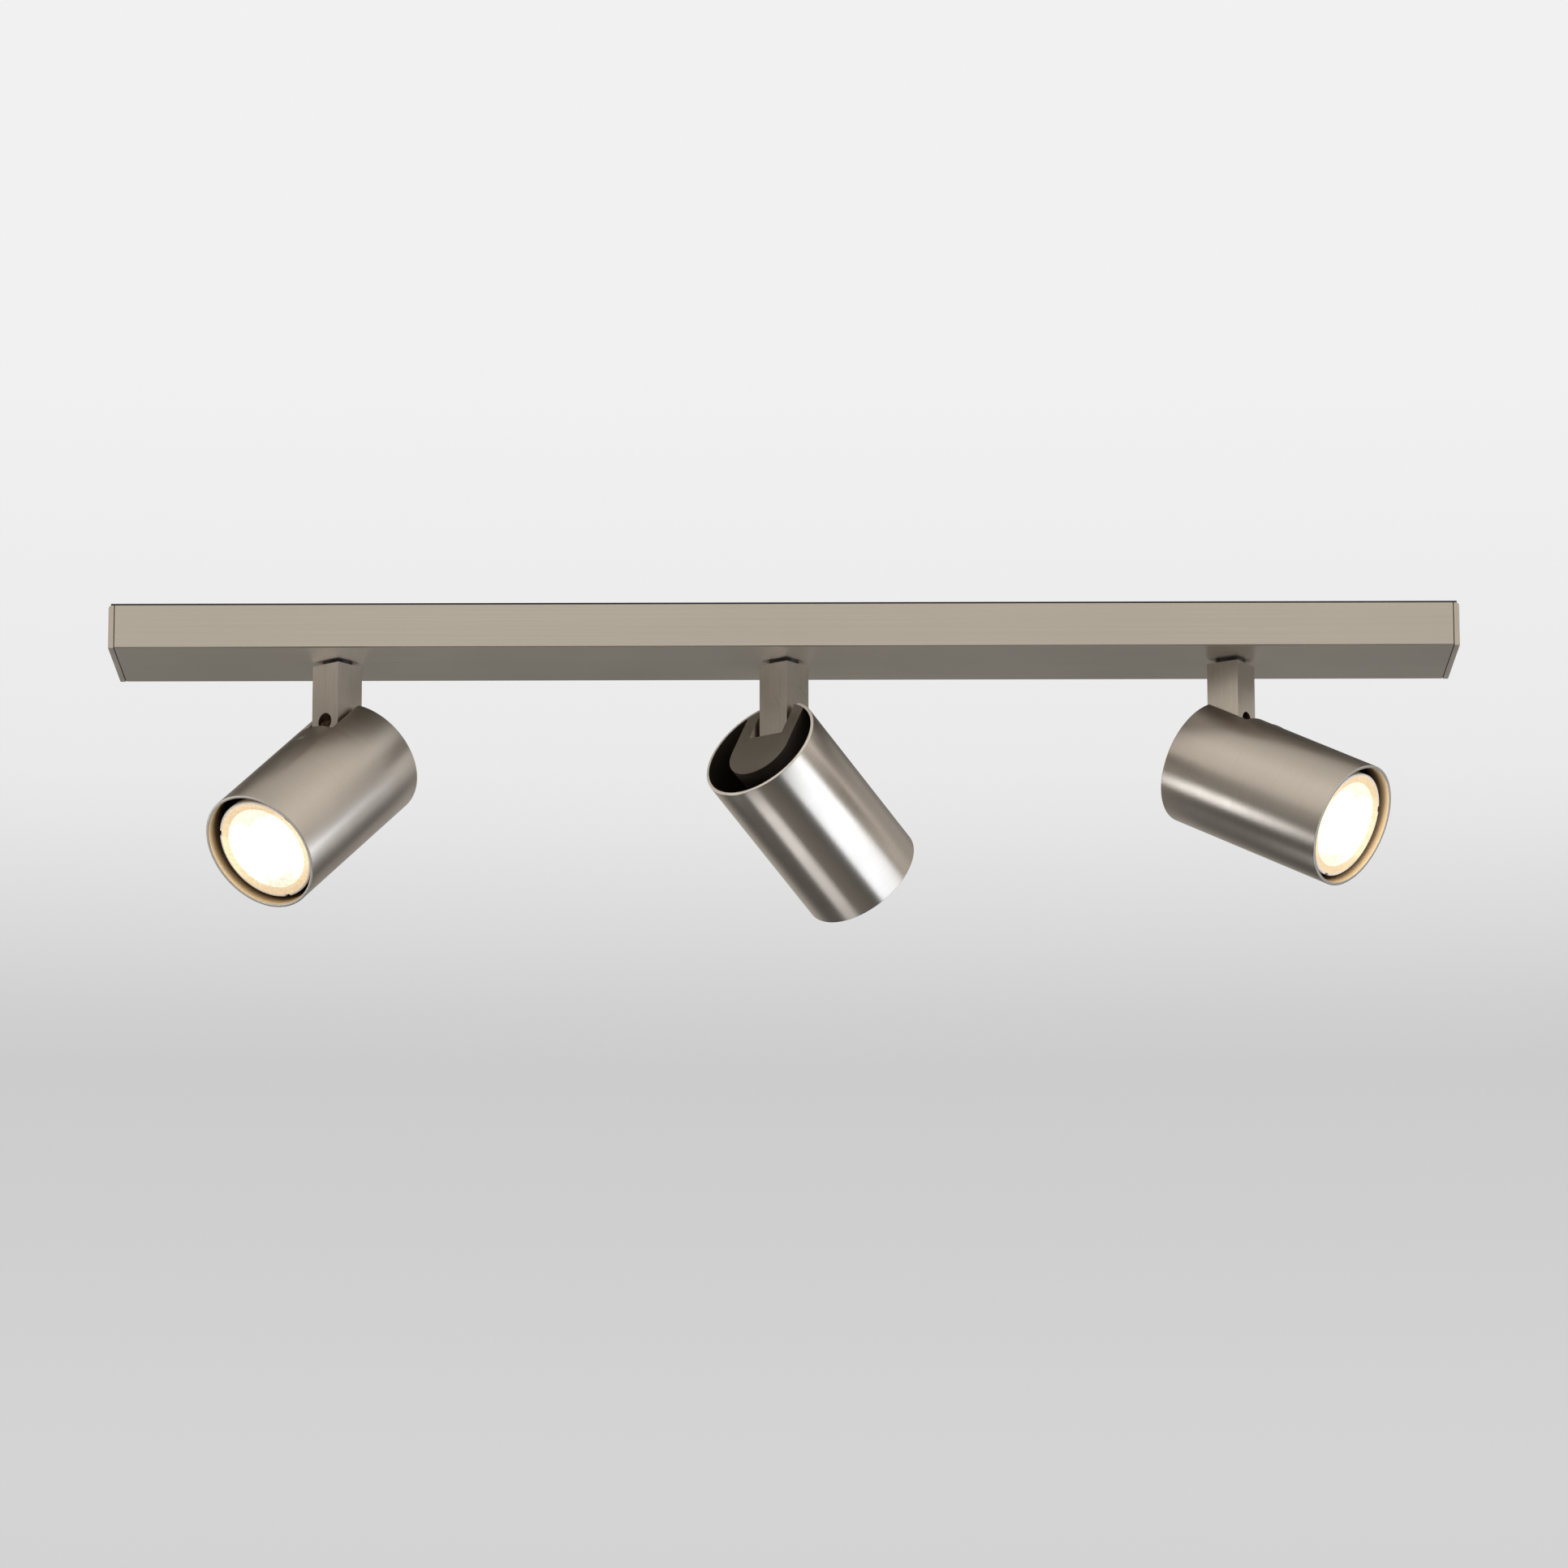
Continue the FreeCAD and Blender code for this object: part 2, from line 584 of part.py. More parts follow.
def end_cap(label, direction):
    """An end cap with its tongue in the channel. It is made for the right end and turned for the left."""
    body = new_body()
    profile = rectangle((-HALF_DEPTH, UNDERSIDE_Z), (HALF_DEPTH, RIM_Z))
    pad(body, outline(body, "YZ_Plane", profile), s.cap_thickness)
    soften(body, s.cap_corner, [(s.cap_thickness, None, RIM_Z)])
    uprights = [(s.cap_thickness, y, None) for y in (-HALF_DEPTH, HALF_DEPTH)]
    soften(body, s.cap_edge, [(s.cap_thickness, None, UNDERSIDE_Z)] + uprights)
    tongue_y = INNER_DEPTH - s.cap_clearance
    tongue_z = FLOOR_Z + s.cap_clearance
    tongue = box((-s.cap_tongue, -tongue_y, tongue_z), (0, tongue_y, tongue_z + s.cap_tongue_height))
    groove = s.cap_joint
    low = UNDERSIDE_Z - OVERSHOOT
    tools = [
        box((-OVERSHOOT, HALF_DEPTH - groove, low), (groove, HALF_DEPTH + OVERSHOOT, 0)),
        box((-OVERSHOOT, -HALF_DEPTH - OVERSHOOT, low), (groove, groove - HALF_DEPTH, 0)),
        box((-OVERSHOOT, -HALF_DEPTH, low), (groove, HALF_DEPTH, UNDERSIDE_Z + groove)),
    ]
    for y in (-PORT_Y, PORT_Y):
        tools.append(countersink((s.cap_thickness, y, RIB_Z), s.cap_screw_radius, s.cap_screw_head,
                                 s.cap_screw_head - s.cap_screw_radius, s.cap_thickness + OVERSHOOT, "-X"))
    cap = fuse(cut(body, *tools), tongue)
    turn = (0, 0, 0) if direction > 0 else (180, 0, 0)
    finish(label, cap, placement_text(CHANNEL_END * direction, 0, 0, turn))


def end_cap_screws():
    screws = []
    for x, along in ((HALF_LENGTH, "+X"), (-HALF_LENGTH, "-X")):
        for y in (-PORT_Y, PORT_Y):
            screw = countersunk_screw(s.cap_screw_radius, s.cap_screw_length, s.cap_screw_head,
                                      s.cap_screw_head - s.cap_screw_radius)
            screws.append(put(screw, x, y, RIB_Z, along))
    finish("end_cap_screws", group(*screws))


def slot_tool(x, radius, length):
    """The cutting shape of a slot along X through the mounting plate."""
    half = length / 2 - radius
    low = RIM_Z - OVERSHOOT
    height = s.plate_thickness + 2 * OVERSHOOT
    middle = box((x - half, -radius, low), (x + half, radius, low + height))
    ends = [rod((x + step, 0, low), radius, height) for step in (-half, half)]
    return fuse(middle, *ends)


def mounting_plate():
    """The plate against the ceiling, with front hooks under one rib and rear tabs behind the other."""
    edge_x = HALF_LENGTH - s.plate_inset
    edge_y = HALF_DEPTH - s.plate_inset
    plate = box((-edge_x, -edge_y, RIM_Z), (edge_x, edge_y, 0))
    sheet = s.plate_thickness
    tab_face = RIB_FACE - s.tab_gap
    foot_z = RIB_TOP_Z - s.rib_height - s.tab_gap
    pieces = [plate]
    for x in (-s.hook_place, s.hook_place):
        low_x = x - s.tab_width / 2
        high_x = x + s.tab_width / 2
        pieces.append(box((low_x, -tab_face, foot_z - sheet), (high_x, sheet - tab_face, RIM_Z)))
        pieces.append(box((low_x, -tab_face - s.hook_foot, foot_z - sheet), (high_x, -tab_face, foot_z)))
    for x in (-TAB_PLACE, TAB_PLACE):
        low_x = x - s.tab_width / 2
        high_x = x + s.tab_width / 2
        pieces.append(box((low_x, tab_face - sheet, RIM_Z - s.tab_drop), (high_x, tab_face, RIM_Z)))
    half_spacing = s.fixing_spacing / 2
    tools = [slot_tool(x, s.fixing_slot_radius, s.fixing_slot_length) for x in (-half_spacing, half_spacing)]
    through = s.plate_thickness + 2 * OVERSHOOT
    low = RIM_Z - OVERSHOOT
    tools.append(rod((s.entry_place, 0, low), s.entry_hole_radius, through))
    tools.append(rod((s.earth_place, EARTH_Y, low), s.earth_radius, through))
    tools += rear_screw_holes(s.rear_screw_radius, tab_face + OVERSHOOT, tab_face - sheet - OVERSHOOT)
    finish("mounting_plate", cut(fuse(*pieces), *tools))


def channel_fixing_screws():
    """The two screws through the channel's back wall and rib into the plate's tabs."""
    length = s.channel_wall + s.rib_width + s.tab_gap + 2 * s.plate_thickness
    screws = []
    for x in (-TAB_PLACE, TAB_PLACE):
        screw = pan_head_screw(s.rear_screw_radius, length, s.rear_screw_head, s.rear_screw_head_height)
        screws.append(put(screw, x, HALF_DEPTH, RIB_Z, "+Y"))
    finish("channel_fixing_screws", group(*screws))


def entry_bush():
    """The rubber bush in the cable entry, flush with the ceiling face."""
    neck = rod((s.entry_place, 0, RIM_Z), s.entry_hole_radius, s.plate_thickness)
    flange = rod((s.entry_place, 0, RIM_Z - s.entry_flange), s.entry_flange_radius, s.entry_flange)
    low = RIM_Z - s.entry_flange - OVERSHOOT
    bore = rod((s.entry_place, 0, low), s.entry_bore_radius, 2 * OVERSHOOT - low)
    finish("entry_bush", cut(fuse(neck, flange), bore))


def pole_levels():
    """The upper and lower wire holes of the terminal block."""
    return SimpleNamespace(upper=RIM_Z - s.upper_hole_drop, lower=RIM_Z - s.lower_hole_drop)


def pole_places():
    """The three poles of the terminal block, from front to back."""
    return SimpleNamespace(earth=-s.pole_spacing, neutral=as_size(0), live=s.pole_spacing)


def terminal_places():
    """Where the terminal screws stand, one at each end of each pole."""
    ends = (s.block_place - s.terminal_screw_place, s.block_place + s.terminal_screw_place)
    return [(x, y) for x in ends for y in vars(pole_places()).values()]


def terminal_block():
    low_x = s.block_place - s.block_length / 2
    high_x = s.block_place + s.block_length / 2
    block_low = RIM_Z - s.block_height
    block = box((low_x, -s.block_depth / 2, block_low), (high_x, s.block_depth / 2, RIM_Z))
    tools = []
    wire_hole = s.lead_radius + s.screw_clearance
    depth = s.block_length / 2 - s.terminal_screw_place
    for y in vars(pole_places()).values():
        for z in vars(pole_levels()).values():
            tools.append(rod((low_x - OVERSHOOT, y, z), wire_hole, depth + OVERSHOOT, "+X"))
            tools.append(rod((high_x + OVERSHOOT, y, z), wire_hole, depth + OVERSHOOT, "-X"))
    well = s.terminal_screw_length + s.terminal_well
    for x, y in terminal_places():
        tools.append(rod((x, y, block_low - OVERSHOOT), s.terminal_screw_radius, well + OVERSHOOT))
    finish("terminal_block", cut(block, *tools))


def terminal_screws():
    screws = []
    head_z = RIM_Z - s.block_height + s.terminal_well
    half = s.recess_width / 2
    for x, y in terminal_places():
        shank = rod((0, 0, 0), s.terminal_screw_radius, s.terminal_screw_length, "-Z")
        reach = s.terminal_screw_radius + OVERSHOOT
        slot = box((-reach, -half, -s.recess_depth), (reach, half, OVERSHOOT))
        screws.append(put(cut(shank, slot), x, y, head_z, "-Z"))
    finish("terminal_screws", group(*screws))


def earth_screw():
    shank = rod((s.earth_place, EARTH_Y, 0), s.earth_radius, s.earth_length, "-Z")
    head = rod((s.earth_place, EARTH_Y, RIM_Z - s.earth_head_drop), s.earth_head, s.earth_head_height, "-Z")
    finish("earth_screw", fuse(shank, head))


def swivel_glide_washers():
    washers = []
    for side in SIDES:
        disc = rod((POST_X[side], 0, UNDERSIDE_Z), s.swivel_radius + s.glide_land, s.glide_gap, "-Z")
        hole = rod((POST_X[side], 0, UNDERSIDE_Z + OVERSHOOT), s.swivel_radius + s.swivel_fit,
                   s.glide_gap + 2 * OVERSHOOT, "-Z")
        washers.append(cut(disc, hole))
    finish("swivel_glide_washers", group(*washers))


def swivel_stop_plates():
    """Plates on the channel's floor, kept from turning by the walls, each with a tab behind the tube."""
    plates = []
    half_width = s.stop_plate_width / 2
    reach = INNER_DEPTH - s.cap_clearance
    for side in SIDES:
        x = POST_X[side]
        sheet = box((x - half_width, -reach, FLOOR_Z), (x + half_width, reach, SPRING_Z))
        half_tab = s.stop_width / 2
        tab = box((x - half_tab, STOP_INNER, FLOOR_Z), (x + half_tab, STOP_OUTER, SPRING_Z + s.stop_rise))
        hole = rod((x, 0, FLOOR_Z - OVERSHOOT), WASHER_HOLE, s.stop_plate + 2 * OVERSHOOT)
        plates.append(cut(fuse(sheet, tab), hole))
    finish("swivel_stop_plates", group(*plates))


def swivel_spring_washers():
    """Dished washers that press each nut up against the channel's floor."""
    washers = []
    outer = s.swivel_radius + s.spring_land
    for side in SIDES:
        ring = turned([
            (WASHER_HOLE + s.spring_sheet, s.spring_height),
            (WASHER_HOLE, s.spring_height - s.spring_sheet),
            (outer - s.spring_sheet, 0),
            (outer, s.spring_sheet),
        ])
        washers.append(put(ring, POST_X[side], 0, SPRING_Z))
    finish("swivel_spring_washers", group(*washers))


# ---- leads: straight runs joined by arcs as large as the runs allow

def tube_along(points, radius):
    """A solid of round section along a route of points, with an arc at each turn."""
    edges = []
    start = points[0]
    for before, corner, after in zip(points, points[1:], points[2:]):
        arriving = (corner - before).normalize()
        leaving = (after - corner).normalize()
        turn = arriving.getAngle(leaving)
        trim = 0.45 * min((corner - before).Length, (after - corner).Length)
        arc_radius = trim / math.tan(turn / 2)
        arc_start = corner - arriving * trim
        arc_end = corner + leaving * trim
        inward = (leaving - arriving).normalize()
        centre = corner + inward * (arc_radius / math.cos(turn / 2))
        middle = centre - inward * arc_radius
        edges.append(Part.LineSegment(start, arc_start).toShape())
        edges.append(Part.Arc(arc_start, middle, arc_end).toShape())
        start = arc_end
        print(f"lead bend radius {arc_radius:.1f} mm")
    edges.append(Part.LineSegment(start, points[-1]).toShape())
    path = Part.Wire(edges)
    direction = (points[1] - points[0]).normalize()
    section = Part.Wire([Part.Circle(points[0], direction, radius).toShape()])
    solid = path.makePipeShell([section], True, False)
    expected = math.pi * radius * radius * path.Length
    if abs(solid.Volume - expected) > 0.02 * expected:
        raise ValueError("a lead's volume isn't its section times its length")
    return solid


def lead_feature(label, routes, frame=None):
    """Leads as one node. Their routes are read from the sheet through the Size values."""
    feature = doc.addObject("Part::Feature", "leads")
    solids = []
    for route in routes:
        points = [FreeCAD.Vector(*(as_size(value).value for value in point)) for point in route]
        solids.append(tube_along(points, s.lead_radius.value))
    feature.Shape = Part.makeCompound(solids)
    finish(label, feature, frame)


def drop_into_post(x, y, direction):
    """The last points of a lead: level over a threaded tube, then down it to the split at the floor."""
    return [(x - s.lead_approach * direction, y, -s.lead_level), (x, y, -s.lead_level), (x, y, FLOOR_Z)]


def bar_leads():
    """Live and neutral leads from the terminal block to the three posts."""
    left_face = s.block_place - s.block_length / 2
    right_face = s.block_place + s.block_length / 2
    upper = pole_levels().upper
    lower = pole_levels().lower
    run_z = -s.lead_level
    routes = []
    for pole_y, side_y in ((pole_places().neutral, -s.lead_offset), (pole_places().live, s.lead_offset)):
        back_y = s.lead_back + side_y
        routes.append([
            (left_face + s.lead_entry, pole_y, upper),
            (left_face - 6, pole_y, upper),
            (left_face - 26, pole_y * 0.4 + 9, run_z),
            (left_face - 58, back_y, run_z),
            (s.head_spacing * -0.5, back_y, run_z - 0.2),
            (50 - s.head_spacing, back_y - 1, run_z),
            *drop_into_post(-s.head_spacing, side_y, -1),
        ])
        routes.append([
            (left_face + s.lead_entry, pole_y, lower),
            (left_face - 7, pole_y, lower),
            *drop_into_post(as_size(0), side_y, -1),
        ])
        routes.append([
            (right_face - s.lead_entry, pole_y, upper),
            (right_face + 6, pole_y, upper),
            (right_face + 28, back_y + 1, run_z),
            (s.entry_place + 30, back_y, run_z - 0.2),
            *drop_into_post(s.head_spacing, side_y, 1),
        ])
    lead_feature("bar_leads", routes)


def earth_lead():
    """The earth lead from the front pole to the head of the earth screw."""
    right_face = s.block_place + s.block_length / 2
    pole_y = pole_places().earth
    level = pole_levels().lower
    route = [
        (right_face - s.lead_entry, pole_y, level),
        (right_face + 7, pole_y, level),
        (s.earth_place - s.earth_head - 2 * s.lead_radius, EARTH_Y + s.earth_head, level),
    ]
    lead_feature("earth_lead", [route])


# ---- what turns under the bar: the post and its threaded tube, in the post's frame

def post_levels():
    """Heights in the post's frame: its top, its hinge pin and its lead outlet."""
    top = -s.glide_gap
    pin = top - s.post_drop
    return SimpleNamespace(top=top, pin=pin, outlet=pin + s.outlet_rise)


def post(side):
    """The square post: bevelled edges, a round foot, a wiring bore, a front outlet and the pin's bore."""
    level = post_levels()
    half = s.post_side / 2
    inner = half - s.post_bevel
    body = new_body()
    corners = [(inner, -half), (half, -inner), (half, inner), (inner, half)]
    corners += [(-x, -y) for x, y in corners]
    pad(body, outline(body, "XY_Plane", corners), half - level.pin, backwards=True)
    shaft = box((-half, -half, level.pin), (half, half, level.top))
    foot = rod((-half, 0, level.pin), half, s.post_side, "+X")
    rounded = common(body, fuse(shaft, foot))
    tools = [
        rod((0, 0, level.top + OVERSHOOT), s.swivel_radius, s.swivel_seat + OVERSHOOT, "-Z"),
        rod((0, 0, level.top), s.post_bore, level.top - level.outlet, "-Z"),
        rod((0, -half - OVERSHOOT, level.outlet), s.outlet_radius, half + 2 * OVERSHOOT, "+Y"),
        rod((-half - OVERSHOOT, 0, level.pin), s.pin_radius + s.pin_fit, s.post_side + 2 * OVERSHOOT, "+X"),
    ]
    finish(f"post_{side}", cut(rounded, *tools), post_frame(side))


def swivel_tube(side):
    top = SWIVEL_TOP_Z - UNDERSIDE_Z
    length = top + s.glide_gap + s.swivel_seat
    outside = rod((0, 0, top), s.swivel_radius, length, "-Z")
    bore = rod((0, 0, top + OVERSHOOT), s.swivel_bore, length + 2 * OVERSHOOT, "-Z")
    finish(f"swivel_tube_{side}", cut(outside, bore), post_frame(side))


def swivel_nut(side):
    """The nut that holds the post up, with a tongue that meets the stop tab."""
    low = NUT_Z - UNDERSIDE_Z
    hexagon = doc.addObject("Part::Prism", "hexagon")
    hexagon.Polygon = 6
    bind(hexagon, Circumradius=s.swivel_radius + s.nut_land, Height=s.nut_height)
    put(hexagon, 0, 0, low)
    half = s.stop_width / 2
    tongue = box((-half, -STOP_OUTER, low), (half, -s.swivel_radius - OVERSHOOT, low + s.tongue_height))
    hole = rod((0, 0, low - OVERSHOOT), s.swivel_radius, s.nut_height + 2 * OVERSHOOT)
    finish(f"swivel_nut_{side}", cut(fuse(hexagon, tongue), hole), post_frame(side))


def post_leads(side):
    """The pair of leads down the post and out of its front outlet."""
    level = post_levels()
    start = FLOOR_Z - UNDERSIDE_Z - s.lead_split
    half = s.post_side / 2
    exit_z = level.outlet - 1.5
    corner_z = exit_z + half * 0.58
    routes = []
    for step in (-1, 1):
        x = s.lead_offset * step
        routes.append([(x, 0, start), (x, 0, corner_z), (x, -half, exit_z)])
    lead_feature(f"post_leads_{side}", routes, post_frame(side))


# ---- what tilts: the head, in its own frame

def head_tube(side):
    """The round tube, with the slot that the post passes through and the tube screw's hole."""
    body = turned(rectangle((TUBE_INNER, -TUBE_LENGTH), (TUBE_RADIUS, 0)))
    half = HINGE_HALF + s.slot_margin
    slot = outline(body, "XZ_Plane", rectangle((-half, -SLOT_LENGTH), (half, OVERSHOOT)))
    pocket(body, slot, TUBE_RADIUS + OVERSHOOT, backwards=True)
    hole = countersink((0, -TUBE_RADIUS, -TUBE_SCREW_PLACE), s.tube_screw_radius, s.tube_screw_head,
                       s.tube_screw_sink, s.tube_wall + OVERSHOOT, "+Y")
    finish(f"head_tube_{side}", cut(body, hole), head_frame(side))


def tube_screw(side):
    screw = countersunk_screw(s.tube_screw_radius, s.tube_screw_length, s.tube_screw_head, s.tube_screw_sink)
    put(screw, 0, -TUBE_RADIUS, -TUBE_SCREW_PLACE, "-Y")
    finish(f"tube_screw_{side}", group(screw), head_frame(side))


def yoke(side):
    """The cast hinge part: a rear plate and box, two cheeks for the pin, and arms out to the tube screw."""
    half = YOKE_HALF
    back = -YOKE_RADIUS - OVERSHOOT
    depth = YOKE_LENGTH
    block = fuse(rod((0, 0, -depth), half, depth), box((-half, back, -depth), (half, 0, 0)))
    arms = box((-half, back, -ARM_REACH), (half, s.arm_height - YOKE_RADIUS, -depth))
    inside_tube = rod((0, 0, OVERSHOOT), YOKE_RADIUS, ARM_REACH + 2 * OVERSHOOT, "-Z")
    outside = common(fuse(block, arms), inside_tube)
    hollow = common(
        rod((0, 0, -s.yoke_plate), half - s.yoke_wall, depth, "-Z"),
        box((-half, HINGE_FLOOR_Y + s.yoke_wall, -s.yoke_plate - depth), (half, half, -s.yoke_plate)),
    )
    bridge_floor = s.bridge_height - YOKE_RADIUS
    through = YOKE_HALF * 2 + 2 * OVERSHOOT
    head_seat = half - s.pin_head_height
    tools = [
        hollow,
        box((-HINGE_HALF, back, -BRIDGE_START), (HINGE_HALF, HINGE_FLOOR_Y, OVERSHOOT)),
        box((-HINGE_HALF, bridge_floor, -ARM_REACH - OVERSHOOT), (HINGE_HALF, HINGE_FLOOR_Y, -BRIDGE_START)),
        rod((-half - OVERSHOOT, -AXIS_OFFSET, -s.rim_rise), s.pin_radius, through, "+X"),
        rod((head_seat, -AXIS_OFFSET, -s.rim_rise), s.pin_head_radius, s.pin_head_height + OVERSHOOT, "+X"),
        rod((0, back, -TUBE_SCREW_PLACE), s.tube_screw_radius, s.bridge_height + 2 * OVERSHOOT, "+Y"),
        rod((0, HINGE_FLOOR_Y - OVERSHOOT, -s.lead_port), s.lead_port_radius,
            s.yoke_wall + 2 * OVERSHOOT, "+Y"),
    ]
    pillars = [pillar(s.lamp_side + step) for step in (-s.pillar_place, s.pillar_place)]
    finish(f"yoke_{side}", fuse(cut(outside, *tools), *pillars), head_frame(side))


def pillar(x):
    """A pillar from the yoke's rear plate to the lampholder, with its screw's hole."""
    y = s.lamp_drop
    column = rod((x, y, -s.yoke_plate), s.pillar_radius, HOLDER_START - s.yoke_plate, "-Z")
    hole = rod((x, y, -HOLDER_START - OVERSHOOT), s.holder_screw_radius, s.holder_screw_grip + OVERSHOOT)
    return cut(column, hole)


def hinge_pin(side):
    """The shouldered pin: its head sunk in one cheek, its shank through the post into the other."""
    shank = rod((-YOKE_HALF, -AXIS_OFFSET, -s.rim_rise), s.pin_radius, YOKE_HALF * 2, "+X")
    head = rod((YOKE_HALF, -AXIS_OFFSET, -s.rim_rise), s.pin_head_radius, s.pin_head_height, "-X")
    finish(f"hinge_pin_{side}", fuse(shank, head), head_frame(side))


def friction_washers(side):
    """A washer each side of the post, between it and the cheek."""
    inner = s.post_side / 2 + s.friction_gap
    washers = []
    for direction, along in ((1, "+X"), (-1, "-X")):
        start = (inner * direction, -AXIS_OFFSET, -s.rim_rise)
        hole_start = ((inner - OVERSHOOT) * direction, -AXIS_OFFSET, -s.rim_rise)
        disc = rod(start, s.friction_radius, s.friction_thickness, along)
        hole = rod(hole_start, s.pin_radius, s.friction_thickness + 2 * OVERSHOOT, along)
        washers.append(cut(disc, hole))
    finish(f"friction_washers_{side}", group(*washers), head_frame(side))


def lampholder(side):
    """The round ceramic lampholder, with two screw wells and two pin sockets in its front."""
    back = -HOLDER_START
    front = HOLDER_FRONT_Z
    body = turned([
        (0, back),
        (s.holder_radius - s.holder_edge, back),
        (s.holder_radius, back - s.holder_edge),
        (s.holder_radius, front),
        (0, front),
    ])
    screws = [(-s.pillar_place, 0), (s.pillar_place, 0)]
    through = circles(body, "XY_Plane", screws, s.holder_screw_radius + s.screw_clearance)
    pocket(body, through, TUBE_LENGTH * 2, both_ways=True)
    tools = [rod((x, y, front - OVERSHOOT), s.holder_screw_head + s.screw_clearance,
                 s.holder_well + OVERSHOOT) for x, y in screws]
    tools += [rod((0, y, front - OVERSHOOT), s.socket_radius, s.socket_depth + OVERSHOOT)
              for y in (-s.pin_spacing / 2, s.pin_spacing / 2)]
    finish(f"lampholder_{side}", cut(body, *tools), lamp_frame(side))


def lampholder_screws(side):
    seat_z = HOLDER_FRONT_Z + s.holder_well
    length = s.holder_length - s.holder_well + s.holder_screw_grip
    screws = []
    for x in (-s.pillar_place, s.pillar_place):
        screw = pan_head_screw(s.holder_screw_radius, length, s.holder_screw_head, s.holder_screw_head_height)
        screws.append(put(screw, x, 0, seat_z, "-Z"))
    finish(f"lampholder_screws_{side}", group(*screws), lamp_frame(side))


def head_leads(side):
    """The pair of leads from the lampholder's back to the opening on the hinge side."""
    routes = []
    for step in (-1, 1):
        x = s.lead_offset * step
        routes.append([
            (x, s.lead_foot, -HOLDER_START),
            (x, s.lead_foot, -s.lead_port),
            (x, HINGE_FLOOR_Y, -s.lead_port),
        ])
    lead_feature(f"head_leads_{side}", routes, head_frame(side))


def lamp_pins(side):
    """The lamp's two headed contact pins."""
    pins = []
    shank_length = s.contact_length - s.contact_head
    for y in (-s.pin_spacing / 2, s.pin_spacing / 2):
        shank = rod((0, y, LAMP_BASE_Z), s.contact_radius, shank_length)
        head = rod((0, y, LAMP_BASE_Z + shank_length), s.contact_head_radius, s.contact_head)
        pins.append(fuse(shank, head))
    finish(f"lamp_pins_{side}", group(*pins), lamp_frame(side))


def lamp_body(side):
    """The reflector lamp's body: a narrow base, a flared shell and a rim round the lens."""
    face = LAMP_FACE_Z
    rim_back = face + s.lamp_rim_depth
    seat = s.lamp_radius - s.lens_margin
    lip = s.lamp_radius - s.lamp_rim_lip
    base_end = LAMP_BASE_Z - s.lamp_base_length
    body = turned([
        (0, LAMP_BASE_Z),
        (s.lamp_base_radius, LAMP_BASE_Z),
        (s.lamp_base_radius, base_end),
        (s.lamp_waist_radius, base_end - s.lamp_waist_length),
        (s.lamp_radius - s.lamp_shoulder, rim_back),
        (s.lamp_radius, rim_back),
        (s.lamp_radius, face),
        (lip, face),
        (seat, face + s.lamp_cone_depth),
        (seat, face + s.lens_seat),
        (0, face + s.lens_seat),
    ])
    notches = []
    half = s.notch_width / 2
    low = (-half, -s.lamp_radius - OVERSHOOT, face - OVERSHOOT)
    high = (half, s.notch_depth - s.lamp_radius, rim_back + OVERSHOOT)
    for turn in (60, 180, 300):
        notch = box(low, high)
        spun = placement_text(0, 0, 0, (turn, 0, 0))
        notch.setExpression("Placement", f"{spun} * {placement_text(*low, (0, 0, 0))}")
        notches.append(notch)
    finish(f"lamp_body_{side}", cut(body, *notches), lamp_frame(side))


def lamp_lens(side):
    """The lens in the lamp's rim, slightly crowned."""
    back = LAMP_FACE_Z + s.lens_seat
    edge = back - s.lens_thickness
    radius = s.lamp_radius - s.lens_margin - s.lens_fit
    body = turned([
        (0, back),
        (radius, back),
        (radius, edge),
        (s.lens_flat, edge - s.lens_crown),
        (0, edge - s.lens_crown),
    ])
    finish(f"lamp_lens_{side}", body, lamp_frame(side))


# ---- the whole fixture

def build():
    bar_channel()
    end_cap("end_cap_left", -1)
    end_cap("end_cap_right", 1)
    end_cap_screws()
    mounting_plate()
    channel_fixing_screws()
    entry_bush()
    terminal_block()
    terminal_screws()
    earth_screw()
    swivel_glide_washers()
    swivel_stop_plates()
    swivel_spring_washers()
    bar_leads()
    earth_lead()
    for side in SIDES:
        for make in (post, swivel_tube, swivel_nut, post_leads, yoke, head_tube, tube_screw, hinge_pin,
                     friction_washers, lampholder, lampholder_screws, head_leads, lamp_body, lamp_pins,
                     lamp_lens):
            make(side)


def check():
    """Stop if any object failed or any sub-part has no sound shape."""
    for obj in doc.Objects:
        if "Invalid" in obj.State or "Error" in obj.State:
            raise ValueError(f"{obj.Label} failed: {obj.State}")
    for node in nodes:
        if node.Shape.isNull() or not node.Shape.isValid() or not node.Shape.Solids:
            raise ValueError(f"{node.Label} has no sound shape")


build()
doc.recompute()
check()
os.makedirs("parts", exist_ok=True)
for node in nodes:
    node.Shape.exportStep(f"parts/{node.Label}.step")
print(f"{len(nodes)} sub-parts written")
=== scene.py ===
"""Studio scene of a ceiling spotlight bar: three round heads on square posts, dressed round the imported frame."""

import json
import logging
import math
from collections.abc import Callable, Iterable
from dataclasses import dataclass, field
from enum import Enum

import bmesh
import bpy
from bmesh.types import BMEdge, BMFace, BMLoop, BMVert
from mathutils import Matrix, Vector


